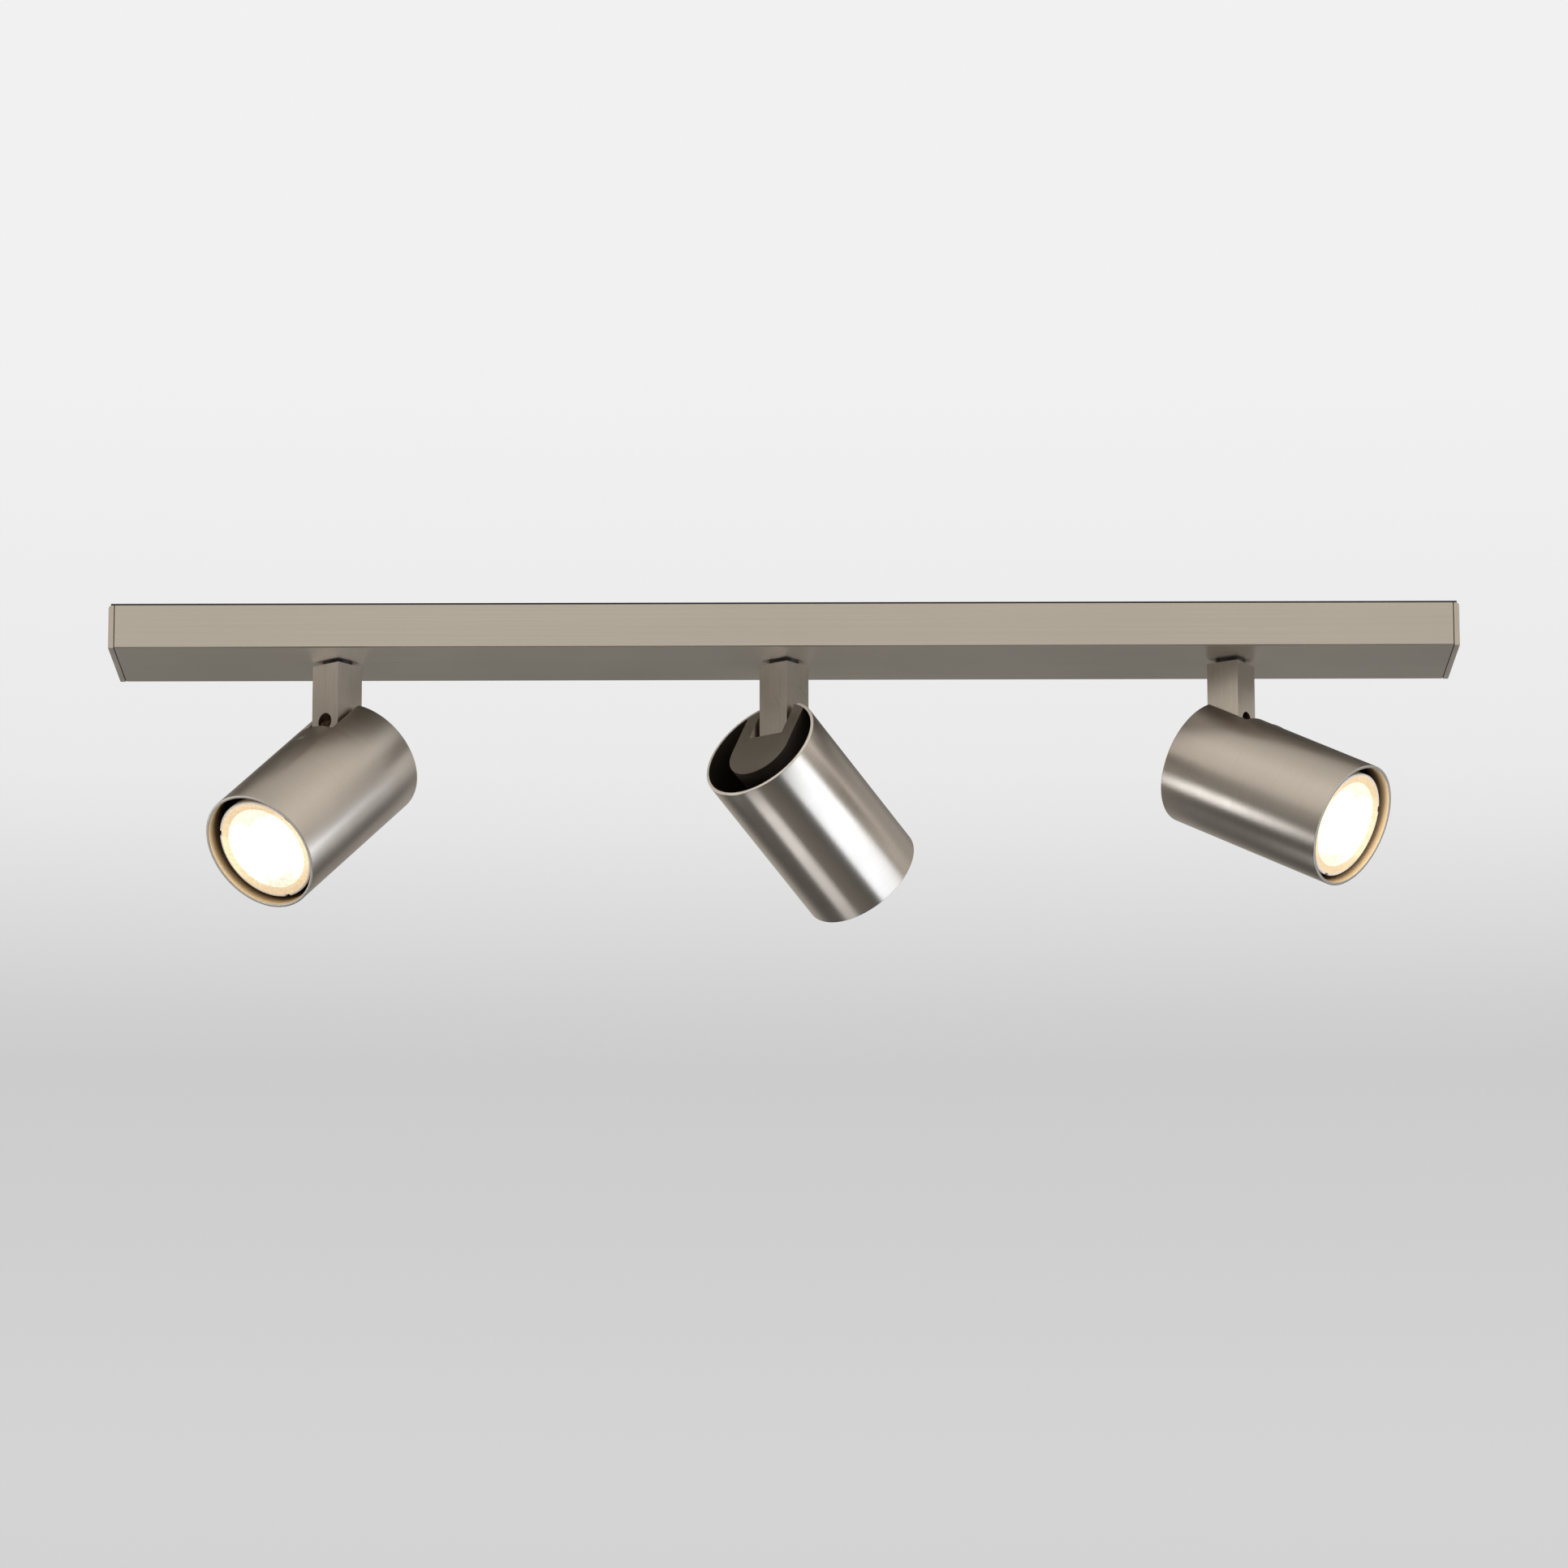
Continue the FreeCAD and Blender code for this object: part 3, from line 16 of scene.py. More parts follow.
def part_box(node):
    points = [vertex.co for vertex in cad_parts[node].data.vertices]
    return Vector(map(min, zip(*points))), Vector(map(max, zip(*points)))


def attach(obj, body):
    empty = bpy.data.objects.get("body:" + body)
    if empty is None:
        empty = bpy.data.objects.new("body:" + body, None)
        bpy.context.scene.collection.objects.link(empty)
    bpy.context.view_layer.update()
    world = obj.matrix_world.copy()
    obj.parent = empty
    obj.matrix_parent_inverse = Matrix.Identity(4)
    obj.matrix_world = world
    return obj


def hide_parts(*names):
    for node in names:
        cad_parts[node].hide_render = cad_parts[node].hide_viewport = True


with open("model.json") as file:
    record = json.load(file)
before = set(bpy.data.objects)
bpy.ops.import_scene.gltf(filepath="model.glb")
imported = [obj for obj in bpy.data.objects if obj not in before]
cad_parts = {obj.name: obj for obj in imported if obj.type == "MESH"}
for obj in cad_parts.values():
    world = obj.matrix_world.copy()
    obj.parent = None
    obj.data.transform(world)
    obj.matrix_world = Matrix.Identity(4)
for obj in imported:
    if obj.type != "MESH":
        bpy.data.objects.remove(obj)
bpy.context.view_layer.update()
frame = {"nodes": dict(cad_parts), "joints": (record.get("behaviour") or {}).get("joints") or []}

LOG = logging.getLogger("spotlight_bar")
MM = 0.001
Colour = tuple[float, float, float]
Shades = tuple[tuple[float, float], ...]
Socket = bpy.types.NodeSocket


class Side(Enum):
    """The three places under the bar."""

    LEFT = "left"
    MIDDLE = "middle"
    RIGHT = "right"


class Slot(Enum):
    """Names of the record's material slots."""

    BRUSHED = "brushed_nickel"
    CAST = "cast_nickel"
    SCREWS = "steel_screws"
    LAMP = "lamp_shell"
    GLASS = "lamp_glass"


class Carve(Enum):
    """How a tool shape acts on a shape."""

    CUT = "DIFFERENCE"
    JOIN = "UNION"
    KEEP = "INTERSECT"


# ---- shapes


def mm(*values: float) -> Vector:
    """A point or a span given in millimetres, as metres."""
    return Vector(values) * MM


class Shape:
    """A solid being made in a piece's own frame, in metres."""

    def __init__(self) -> None:
        """Start with nothing."""
        self.bm = bmesh.new()

    def block(self, low: Vector, high: Vector) -> "Shape":
        """Add a block.

        Args:
            low: The lowest corner.
            high: The highest corner.

        Returns:
            The shape itself.
        """
        corners = bmesh.ops.create_cube(self.bm, size=1.0)["verts"]
        bmesh.ops.scale(self.bm, vec=high - low, verts=corners)
        bmesh.ops.translate(self.bm, vec=(low + high) / 2, verts=corners)
        return self

    def rod(self, start: Vector, end: Vector, radius: float, segments: int = 64,
            end_radius: float | None = None) -> "Shape":
        """Add a rod or a cone frustum.

        Args:
            start: The middle of its first end.
            end: The middle of its other end.
            radius: Radius at the start.
            segments: Number of sides.
            end_radius: Radius at the end, where it isn't the same.

        Returns:
            The shape itself.
        """
        along = end - start
        made = bmesh.ops.create_cone(self.bm, cap_ends=True, cap_tris=False, segments=segments, radius1=radius,
                                     radius2=radius if end_radius is None else end_radius,
                                     depth=along.length)["verts"]
        turn = along.to_track_quat("Z", "Y").to_matrix().to_4x4()
        bmesh.ops.transform(self.bm, matrix=Matrix.Translation((start + end) / 2) @ turn, verts=made)
        return self

    def turning(self, profile: list[tuple[float, float]], segments: int = 128) -> "Shape":
        """Add a body of revolution about Z.

        Args:
            profile: Radius and height of each point, in millimetres. A profile that starts and ends on the
                axis stays open there, and any other closes on itself.
            segments: Number of steps round the axis.

        Returns:
            The shape itself.
        """
        points = [self.bm.verts.new(mm(radius, 0, height)) for radius, height in profile]
        pairs = list(zip(points, points[1:]))
        if profile[0][0] > 0 or profile[-1][0] > 0:
            pairs.append((points[-1], points[0]))
        edges = [self.bm.edges.new(pair) for pair in pairs]
        bmesh.ops.spin(self.bm, geom=points + edges, cent=(0, 0, 0), axis=(0, 0, 1), angle=2 * math.pi,
                       steps=segments, use_merge=True)
        bmesh.ops.remove_doubles(self.bm, verts=self.bm.verts, dist=1e-7)
        bmesh.ops.recalc_face_normals(self.bm, faces=self.bm.faces)
        return self

    def carve(self, how: Carve, tool: "Shape") -> "Shape":
        """Cut, join or keep what a tool shape covers.

        Args:
            how: What the tool does.
            tool: The tool, which is used up.

        Returns:
            The shape itself.
        """
        work, cutter = (part.as_object("carving") for part in (self, tool))
        modifier = work.modifiers.new("carving", "BOOLEAN")
        modifier.operation = how.value
        modifier.solver = "EXACT"
        modifier.object = cutter
        carved = bpy.data.meshes.new_from_object(work.evaluated_get(bpy.context.evaluated_depsgraph_get()))
        self.bm.clear()
        self.bm.from_mesh(carved)
        for used in (work, cutter):
            mesh = used.data
            bpy.data.objects.remove(used)
            bpy.data.meshes.remove(mesh)
        bpy.data.meshes.remove(carved)
        tool.bm.free()
        return self

    def as_object(self, name: str) -> bpy.types.Object:
        """An object of the shape as it is, linked to the scene."""
        mesh = bpy.data.meshes.new(name)
        self.bm.to_mesh(mesh)
        made = bpy.data.objects.new(name, mesh)
        bpy.context.scene.collection.objects.link(made)
        return made

    def round_edges(self, radius: float, chosen: Callable[[BMEdge], bool], segments: int = 3) -> "Shape":
        """Round the chosen edges.

        Args:
            radius: Offset of the rounding, in metres.
            chosen: Says whether an edge is rounded.
            segments: Steps across the rounding.

        Returns:
            The shape itself.
        """
        edges = [edge for edge in self.bm.edges if chosen(edge)]
        bmesh.ops.bevel(self.bm, geom=edges, offset=radius, affect="EDGES", segments=segments, profile=0.5,
                        material=-1, clamp_overlap=True)
        return self

    def paint(self, index: int, chosen: Callable[[BMFace], bool]) -> "Shape":
        """Give the chosen faces another of the piece's finishes."""
        for face in self.bm.faces:
            if chosen(face):
                face.material_index = index
        return self

    def wrap(self) -> "Shape":
        """Lay a UV map whose U runs along Z, or along the radius on end faces, and whose V runs round Z."""
        layer = self.bm.loops.layers.uv.verify()
        for face in self.bm.faces:
            middle = face.calc_center_median()
            reference = math.atan2(middle.y, middle.x)
            on_end = abs(face.normal.z) > 0.7
            for loop in face.loops:
                loop[layer].uv = self.wrapped(loop, reference, on_end)
        return self

    def face_on(self, span: float) -> "Shape":
        """Lay a UV map that looks along Z, where a span from the axis is 1."""
        layer = self.bm.loops.layers.uv.verify()
        for face in self.bm.faces:
            for loop in face.loops:
                loop[layer].uv = loop.vert.co.xy / span
        return self

    @staticmethod
    def wrapped(loop: BMLoop, reference: float, on_end: bool) -> tuple[float, float]:
        """The UV of one corner, with its angle on the same turn as its face's middle."""
        place = loop.vert.co
        angle = math.atan2(place.y, place.x)
        angle -= 2 * math.pi * round((angle - reference) / (2 * math.pi))
        radius = math.hypot(place.x, place.y)
        along = -place.z - (radius if on_end else 0.0)
        return along * 10, angle / (2 * math.pi)


def sharper_than(degrees: float) -> Callable[[BMEdge], bool]:
    """A choice of the edges whose faces meet at more than an angle."""
    limit = math.radians(degrees)
    return lambda edge: len(edge.link_faces) == 2 and edge.calc_face_angle(0.0) > limit


# ---- finishes


class Tree:
    """A tree of shader nodes."""

    def __init__(self, tree: bpy.types.NodeTree) -> None:
        """Take over a tree that is there."""
        self.tree = tree

    def add(self, kind: str, inputs: dict | None = None, **settings: object) -> bpy.types.Node:
        """Add a node.

        Args:
            kind: The node's class.
            inputs: Value or source socket for each input, by name or number.
            settings: The node's own properties.

        Returns:
            The node.
        """
        node = self.tree.nodes.new(kind)
        for name, value in settings.items():
            setattr(node, name, value)
        self.feed(node, inputs or {})
        return node

    def feed(self, node: bpy.types.Node, inputs: dict) -> None:
        """Set or link a node's inputs."""
        for key, value in inputs.items():
            if isinstance(value, Socket):
                self.tree.links.new(value, node.inputs[key])
            else:
                node.inputs[key].default_value = value

    def blend(self, share: Socket | float, first: Colour | Socket, second: Colour, how: str = "MIX") -> Socket:
        """A mix of two colours, of which the first may be one made so far."""
        start = first if isinstance(first, Socket) else (*first, 1)
        inputs = {"Factor": share, 6: start, 7: (*second, 1)}
        return self.add("ShaderNodeMix", inputs, data_type="RGBA", blend_type=how).outputs[2]

    def ramp(self, height: Socket, stops: Shades) -> Socket:
        """Grey by height.

        Args:
            height: From -1 straight down to 1 straight up.
            stops: Height from 0 to 1, and brightness, of each stop.

        Returns:
            The colour.
        """
        share = self.add("ShaderNodeMapRange", {"Value": height, "From Min": -1.0}).outputs["Result"]
        node = self.add("ShaderNodeValToRGB", {0: share})
        elements = node.color_ramp.elements
        while len(elements) < len(stops):
            elements.new(0.5)
        for element, (position, _) in zip(elements, stops):
            element.position = position
        for element, (_, grey) in zip(elements, stops):
            element.color = (grey, grey, grey, 1)
        return node.outputs[0]


class Recipe(Tree):
    """The nodes of one material."""

    def __init__(self, name: str) -> None:
        """Start a material with its shader and output."""
        self.material = bpy.data.materials.new(name)
        self.material.use_nodes = True
        super().__init__(self.material.node_tree)
        self.shader = next(node for node in self.tree.nodes if node.type == "BSDF_PRINCIPLED")

    def place(self, stretch: Colour, on_uv: bool = False) -> Socket:
        """Coordinates on the piece, stretched by a factor along each axis."""
        source = self.add("ShaderNodeTexCoord").outputs["UV" if on_uv else "Object"]
        return self.add("ShaderNodeMapping", {"Vector": source, "Scale": stretch}).outputs["Vector"]

    def noise(self, where: Socket, scale: float, detail: float = 3.0, rough: float = 0.55) -> Socket:
        """A noise from 0 to 1."""
        inputs = {"Vector": where, "Scale": scale, "Detail": detail, "Roughness": rough}
        return self.add("ShaderNodeTexNoise", inputs).outputs["Fac"]

    def cells(self, where: Socket, scale: float) -> Socket:
        """Distance to the nearest of many scattered points."""
        return self.add("ShaderNodeTexVoronoi", {"Vector": where, "Scale": scale}).outputs["Distance"]

    def span(self, value: Socket, low: float, high: float, start: float = 0.3, end: float = 0.7) -> Socket:
        """A value moved from one range to another."""
        inputs = {"Value": value, "From Min": start, "From Max": end, "To Min": low, "To Max": high}
        return self.add("ShaderNodeMapRange", inputs).outputs["Result"]

    def maths(self, how: str, *values: Socket) -> Socket:
        """The outcome of a sum on values made so far."""
        return self.add("ShaderNodeMath", dict(enumerate(values)), operation=how).outputs[0]

    def relief(self, height: Socket, strength: float, depth: float) -> Socket:
        """A bump from a height."""
        inputs = {"Height": height, "Strength": strength, "Distance": depth}
        return self.add("ShaderNodeBump", inputs).outputs["Normal"]

    def done(self, **inputs: object) -> bpy.types.Material:
        """Feed the shader, with spaces for the underscores of its input names."""
        self.feed(self.shader, {key.replace("_", " "): value for key, value in inputs.items()})
        return self.material


@dataclass(frozen=True)
class BrushedFlat:
    """Plated sheet or extrusion, brushed along X."""

    name: str
    light: Colour
    dark: Colour
    roughness: float = 0.34

    def make(self) -> bpy.types.Material:
        """The material."""
        recipe = Recipe(self.name)
        fine = recipe.noise(recipe.place((2.0, 420.0, 420.0)), 3.0, 5.0, 0.7)
        broad = recipe.noise(recipe.place((0.7, 60.0, 60.0)), 2.0, 2.0)
        cloud = recipe.noise(recipe.place((1.0, 1.0, 1.0)), 9.0, 2.0)
        colour = recipe.blend(recipe.span(fine, 0.0, 1.0), self.dark, self.light)
        colour = recipe.blend(recipe.span(broad, 0.0, 0.35), colour, self.light)
        rough = recipe.maths("ADD", recipe.span(fine, -0.05, 0.05),
                             recipe.span(cloud, self.roughness - 0.03, self.roughness + 0.03))
        return recipe.done(Base_Color=colour, Metallic=1.0, Roughness=rough,
                           Normal=recipe.relief(fine, 0.05, 0.0001))


@dataclass(frozen=True)
class BrushedRound:
    """Plated tube, brushed round its axis. It needs a UV map whose U runs along the axis."""

    name: str
    light: Colour
    dark: Colour
    roughness: float = 0.31
    stretch: float = 0.75

    def make(self) -> bpy.types.Material:
        """The material."""
        recipe = Recipe(self.name)
        rings = recipe.noise(recipe.place((1.0, 0.006, 1.0), on_uv=True), 520.0, 2.0, 0.6)
        broken = recipe.noise(recipe.place((1.0, 0.02, 1.0), on_uv=True), 150.0, 2.0, 0.5)
        cloud = recipe.noise(recipe.place((1.0, 1.0, 1.0)), 40.0, 2.0)
        colour = recipe.blend(recipe.span(rings, 0.0, 1.0), self.dark, self.light)
        colour = recipe.blend(recipe.span(broken, 0.0, 0.4), colour, self.light)
        rough = recipe.maths("ADD", recipe.span(broken, -0.02, 0.02),
                             recipe.span(cloud, self.roughness - 0.02, self.roughness + 0.02))
        tangent = recipe.add("ShaderNodeTangent", direction_type="UV_MAP").outputs[0]
        return recipe.done(Base_Color=colour, Metallic=1.0, Roughness=rough, Anisotropic=self.stretch,
                           Tangent=tangent)


@dataclass(frozen=True)
class Satin:
    """Metal with a fine, even grain."""

    name: str
    light: Colour
    dark: Colour
    roughness: float = 0.36
    grain: float = 1400.0
    relief: float = 0.03
    metallic: float = 1.0
    stretch: Colour = (1.0, 1.0, 1.0)

    def make(self) -> bpy.types.Material:
        """The material."""
        recipe = Recipe(self.name)
        grain = recipe.noise(recipe.place(self.stretch), self.grain, 3.0, 0.6)
        cloud = recipe.noise(recipe.place((1.0, 1.0, 1.0)), 55.0, 3.0)
        colour = recipe.blend(recipe.span(grain, 0.0, 1.0), self.dark, self.light)
        colour = recipe.blend(recipe.span(cloud, 0.0, 0.3), colour, self.light)
        return recipe.done(Base_Color=colour, Metallic=self.metallic,
                           Roughness=recipe.span(cloud, self.roughness - 0.04, self.roughness + 0.04),
                           Normal=recipe.relief(grain, self.relief, 0.0001))


@dataclass(frozen=True)
class Moulded:
    """Plastic, rubber, paint or ceramic with a faint grain."""

    name: str
    light: Colour
    dark: Colour
    roughness: float
    grain: float = 1800.0
    relief: float = 0.15

    def make(self) -> bpy.types.Material:
        """The material."""
        recipe = Recipe(self.name)
        grain = recipe.noise(recipe.place((1.0, 1.0, 1.0)), self.grain, 2.0)
        cloud = recipe.noise(recipe.place((1.0, 1.0, 1.0)), 70.0, 3.0)
        return recipe.done(Base_Color=recipe.blend(recipe.span(cloud, 0.0, 1.0), self.dark, self.light),
                           Roughness=recipe.span(grain, self.roughness - 0.06, self.roughness + 0.06),
                           Normal=recipe.relief(grain, self.relief, 0.0001))


@dataclass(frozen=True)
class Sleeve:
    """Soft insulation of a lead, with a second colour in stripes where it has one."""

    name: str
    main: Colour
    stripe: Colour
    roughness: float = 0.42

    def make(self) -> bpy.types.Material:
        """The material."""
        recipe = Recipe(self.name)
        where = recipe.place((1.0, 1.0, 1.0))
        bands = recipe.add("ShaderNodeTexWave", {"Vector": where, "Scale": 260.0, "Distortion": 0.6},
                           bands_direction="DIAGONAL").outputs["Fac"]
        grain = recipe.noise(where, 2400.0, 2.0)
        return recipe.done(Base_Color=recipe.blend(recipe.span(bands, 0.0, 1.0, 0.45, 0.55), self.main, self.stripe),
                           Roughness=recipe.span(grain, self.roughness - 0.05, self.roughness + 0.05),
                           Normal=recipe.relief(grain, 0.12, 0.0001))


@dataclass(frozen=True)
class TubeInsidePaintedShadeAndGlow:
    """Inner wall of a head tube with painted light: painted shade, dark deep inside, then a painted warm glow of lamp
    light that turns pale gold at the front rim.
    """

    name: str
    deep: Colour
    middle: Colour
    front: Colour
    front_place: float

    def make(self) -> bpy.types.Material:
        """The material."""
        recipe = Recipe(self.name)
        where = recipe.place((1.0, 1.0, 1.0), on_uv=True)
        along = recipe.add("ShaderNodeSeparateXYZ", {0: where}).outputs[0]
        rings = recipe.noise(recipe.place((1.0, 0.006, 1.0), on_uv=True), 420.0, 3.0, 0.6)
        near = recipe.span(along, 0.0, 1.0, self.front_place - 0.09, self.front_place - 0.02)
        rim = recipe.span(along, 0.0, 1.0, self.front_place - 0.03, self.front_place + 0.02)
        # Painted shade deep in the tube, blending to a painted gold glow of lamp light at the front.
        colour = recipe.blend(rim, recipe.blend(near, self.deep, self.middle), self.front)
        return recipe.done(Base_Color=colour, Metallic=recipe.span(near, 0.85, 0.30, 0.0, 1.0),
                           Roughness=recipe.span(rings, 0.32, 0.44))


@dataclass(frozen=True)
class Glow:
    """A lit part of a lamp, pebbled. It needs a UV map of the lamp's face, from -1 to 1 both ways."""

    name: str
    glass: Colour
    bright: Colour
    soft: Colour
    low: float
    high: float
    pebble: float
    grid: float = 0.1
    band: float = 0.62
    roughness: float = 0.28

    def make(self) -> bpy.types.Material:
        """The material, brightest in a band across the lamp's face."""
        recipe = Recipe(self.name)
        face = recipe.place((1.0, 1.0, 1.0), on_uv=True)
        pebble = recipe.cells(face, self.pebble)
        across = recipe.add("ShaderNodeSeparateXYZ", {0: face}).outputs[1]
        wander = recipe.span(recipe.noise(face, 1.7, 2.0), -0.22, 0.22)
        off = recipe.maths("ABSOLUTE", recipe.maths("ADD", across, wander))
        share = recipe.span(off, 1.0, 0.0, self.band - 0.24, self.band + 0.18)
        grain = recipe.span(pebble, 1.0 + self.grid, 1.0 - self.grid, 0.1, 0.8)
        level = recipe.maths("MULTIPLY", recipe.span(share, self.low, self.high, 0.0, 1.0), grain)
        return recipe.done(Base_Color=(*self.glass, 1), Roughness=self.roughness,
                           Emission_Color=recipe.blend(share, self.soft, self.bright), Emission_Strength=level,
                           Normal=recipe.relief(pebble, 0.3, 0.0004))


FINISHES = {
    finish.name: finish
    for finish in (
        BrushedFlat("nickel_brushed_along", (0.60, 0.545, 0.48), (0.52, 0.475, 0.415)),
        BrushedRound("nickel_brushed_round", (0.595, 0.535, 0.475), (0.535, 0.48, 0.425)),
        Satin("nickel_satin_post", (0.59, 0.53, 0.465), (0.52, 0.465, 0.405), 0.30, stretch=(1.0, 1.0, 0.04)),
        Satin("nickel_cast", (0.46, 0.41, 0.355), (0.40, 0.355, 0.31), 0.40, grain=1100.0, relief=0.06),
        # Pale, mostly diffuse finish of cut ends and slot edges: a painted highlight along those edges.
        Satin("nickel_cut_painted_highlight", (0.90, 0.83, 0.74), (0.80, 0.74, 0.66), 0.40, grain=900.0, relief=0.02, metallic=0.2),
        # Pale finish of the posts' rounded edges: a painted highlight along them.
        Satin("nickel_edge_painted_highlight", (0.86, 0.79, 0.71), (0.76, 0.70, 0.62), 0.34, grain=900.0, relief=0.02, metallic=0.8),
        Satin("nickel_rim", (0.52, 0.475, 0.42), (0.45, 0.41, 0.36), 0.46, grain=900.0, relief=0.02),
        # Near-black finish that paints shade: in the end caps' groove and on the yoke beside the tube wall.
        Satin("cast_painted_shade", (0.11, 0.090, 0.072), (0.08, 0.066, 0.052), 0.46, grain=1100.0, relief=0.06),
        Satin("steel", (0.62, 0.60, 0.57), (0.50, 0.48, 0.46), 0.30),
        Satin("brass", (0.72, 0.56, 0.27), (0.58, 0.44, 0.20), 0.32),
        Moulded("black_paint", (0.022, 0.022, 0.022), (0.012, 0.012, 0.012), 0.45),
        Moulded("rubber", (0.030, 0.030, 0.030), (0.016, 0.016, 0.016), 0.65),
        Moulded("black_nylon", (0.035, 0.034, 0.033), (0.02, 0.02, 0.02), 0.40),
        Moulded("white_nylon", (0.72, 0.71, 0.68), (0.62, 0.61, 0.58), 0.38),
        Moulded("ceramic", (0.80, 0.78, 0.73), (0.70, 0.68, 0.63), 0.30),
        Sleeve("lead_sleeve", (0.10, 0.055, 0.03), (0.08, 0.045, 0.025)),
        Sleeve("earth_sleeve", (0.10, 0.36, 0.06), (0.72, 0.62, 0.05)),
        TubeInsidePaintedShadeAndGlow("tube_inside_painted_shade_and_glow", (0.09, 0.075, 0.06), (0.30, 0.17, 0.07), (0.93, 0.70, 0.42), 0.89),
        Satin("lamp_shell", (0.70, 0.69, 0.66), (0.60, 0.59, 0.57), 0.34),
        Moulded("lamp_lip", (0.74, 0.70, 0.66), (0.66, 0.62, 0.58), 0.22),
        Glow("lamp_ring", (0.26, 0.22, 0.16), (1.0, 0.79, 0.48), (1.0, 0.73, 0.42), 0.66, 0.92, 18.0, 0.10),
        Glow("lamp_lens", (0.20, 0.19, 0.16), (1.0, 0.96, 0.86), (1.0, 0.92, 0.72), 0.92, 2.0, 15.0, 0.13),
    )
}


@dataclass
class Workshop:
    """Makes each finish once and hands out finished pieces."""

    materials: dict[str, bpy.types.Material] = field(default_factory=dict)

    def finish(self, name: str) -> bpy.types.Material:
        """The material of a finish, made when first asked for."""
        if name not in self.materials:
            self.materials[name] = FINISHES[name].make()
        return self.materials[name]

    def piece(self, shape: Shape, name: str, body: str, finishes: Iterable[str],
              replaced: Iterable[str], place: Matrix, edge: float = 0.0, edge_index: int = -1) -> bpy.types.Object:
        """Turn a shape into a finished piece that rides on a body.

        Args:
            shape: The shape, in the piece's own frame.
            name: The piece's name.
            body: The CAD body that it rides on.
            finishes: Names of its finishes, in the order of its face indices.
            replaced: The CAD nodes that it stands for.
            place: From the piece's own frame to the bar's frame.
            edge: Width of the rounding of all sharp edges, in metres, or none.
            edge_index: Index of the rounding's finish, or -1 for that of the faces beside it.

        Returns:
            The piece.
        """
        bmesh.ops.transform(shape.bm, matrix=place, verts=shape.bm.verts)
        made = shape.as_object(name)
        shape.bm.free()
        made.data.shade_smooth()
        if edge:
            rounding = made.modifiers.new("edges", "BEVEL")
            rounding.width = edge
            rounding.segments = 3
            rounding.limit_method = "ANGLE"
            rounding.angle_limit = math.radians(40)
            rounding.harden_normals = True
            rounding.material = edge_index
        else:
            made.data.set_sharp_from_angle(angle=math.radians(32))
        for finish in finishes:
            made.data.materials.append(self.finish(finish))
        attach(made, body)
        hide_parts(*replaced)
        LOG.info("%s: %d faces on %s, for %s", name, len(made.data.polygons), body, ", ".join(replaced))
        return made


# ---- where things stand


@dataclass(frozen=True)
class Stand:
    """How one post and its head stand at rest."""

    side: Side
    pivot: Vector
    across: Vector
    tilt: float

    @classmethod
    def of(cls, side: Side) -> "Stand":
        """The stand of a side, read from its tilting joint."""
        joint = next(item for item in frame["joints"] if item["name"] == f"tilt_{side.value}")
        return cls(side, Vector(joint["pos_m"]), -Vector(joint["axis"]), -math.radians(joint["range_deg"][0]))

    @property
    def post_place(self) -> Matrix:
        """From the post's frame to the bar's frame, with the origin at the hinge pin."""
        up = Vector((0, 0, 1))
        turn = Matrix((self.across, up.cross(self.across), up)).transposed().to_4x4()
        return Matrix.Translation(self.pivot) @ turn

    def head_place(self, axis_offset: float, rim_rise: float) -> Matrix:
        """From the head's frame to the bar's frame.

        Args:
            axis_offset: The tube's axis from the hinge pin, in metres.
            rim_rise: The rear rim behind the hinge pin, in metres.

        Returns:
            A matrix whose origin is the middle of the rear rim, with Z backwards out of the tube.
        """
        lean = Matrix.Rotation(-self.tilt, 4, "X")
        return self.post_place @ lean @ Matrix.Translation((0, axis_offset, rim_rise))


# ---- pieces


@dataclass
class Fastener:
    """A screw with a cross recess. Its head's rim is at the origin and its shank runs down Z."""

    radius: float = 1.25
    head_radius: float = 2.7
    head_height: float = 1.3
    crown: float = 0.22
    length: float = 6.0
    recess_reach: float = 1.55
    recess_width: float = 0.62
    recess_depth: float = 0.8

    def shape(self) -> Shape:
        """The screw."""
        head = self.head_radius
        screw = Shape().turning([
            (0, self.crown), (head * 0.45, self.crown * 0.85), (head * 0.8, self.crown * 0.4), (head * 0.96, 0.0),
            (head, -0.10), (self.radius, -self.head_height), (self.radius, 0.4 - self.length),
            (self.radius - 0.35, -self.length), (0, -self.length)], 40)
        half = self.recess_width / 2
        for reach, width in ((self.recess_reach, half), (half, self.recess_reach)):
            tool = Shape().block(mm(-reach, -width, -self.recess_depth), mm(reach, width, 1.0))
            screw.carve(Carve.CUT, tool)
        return screw


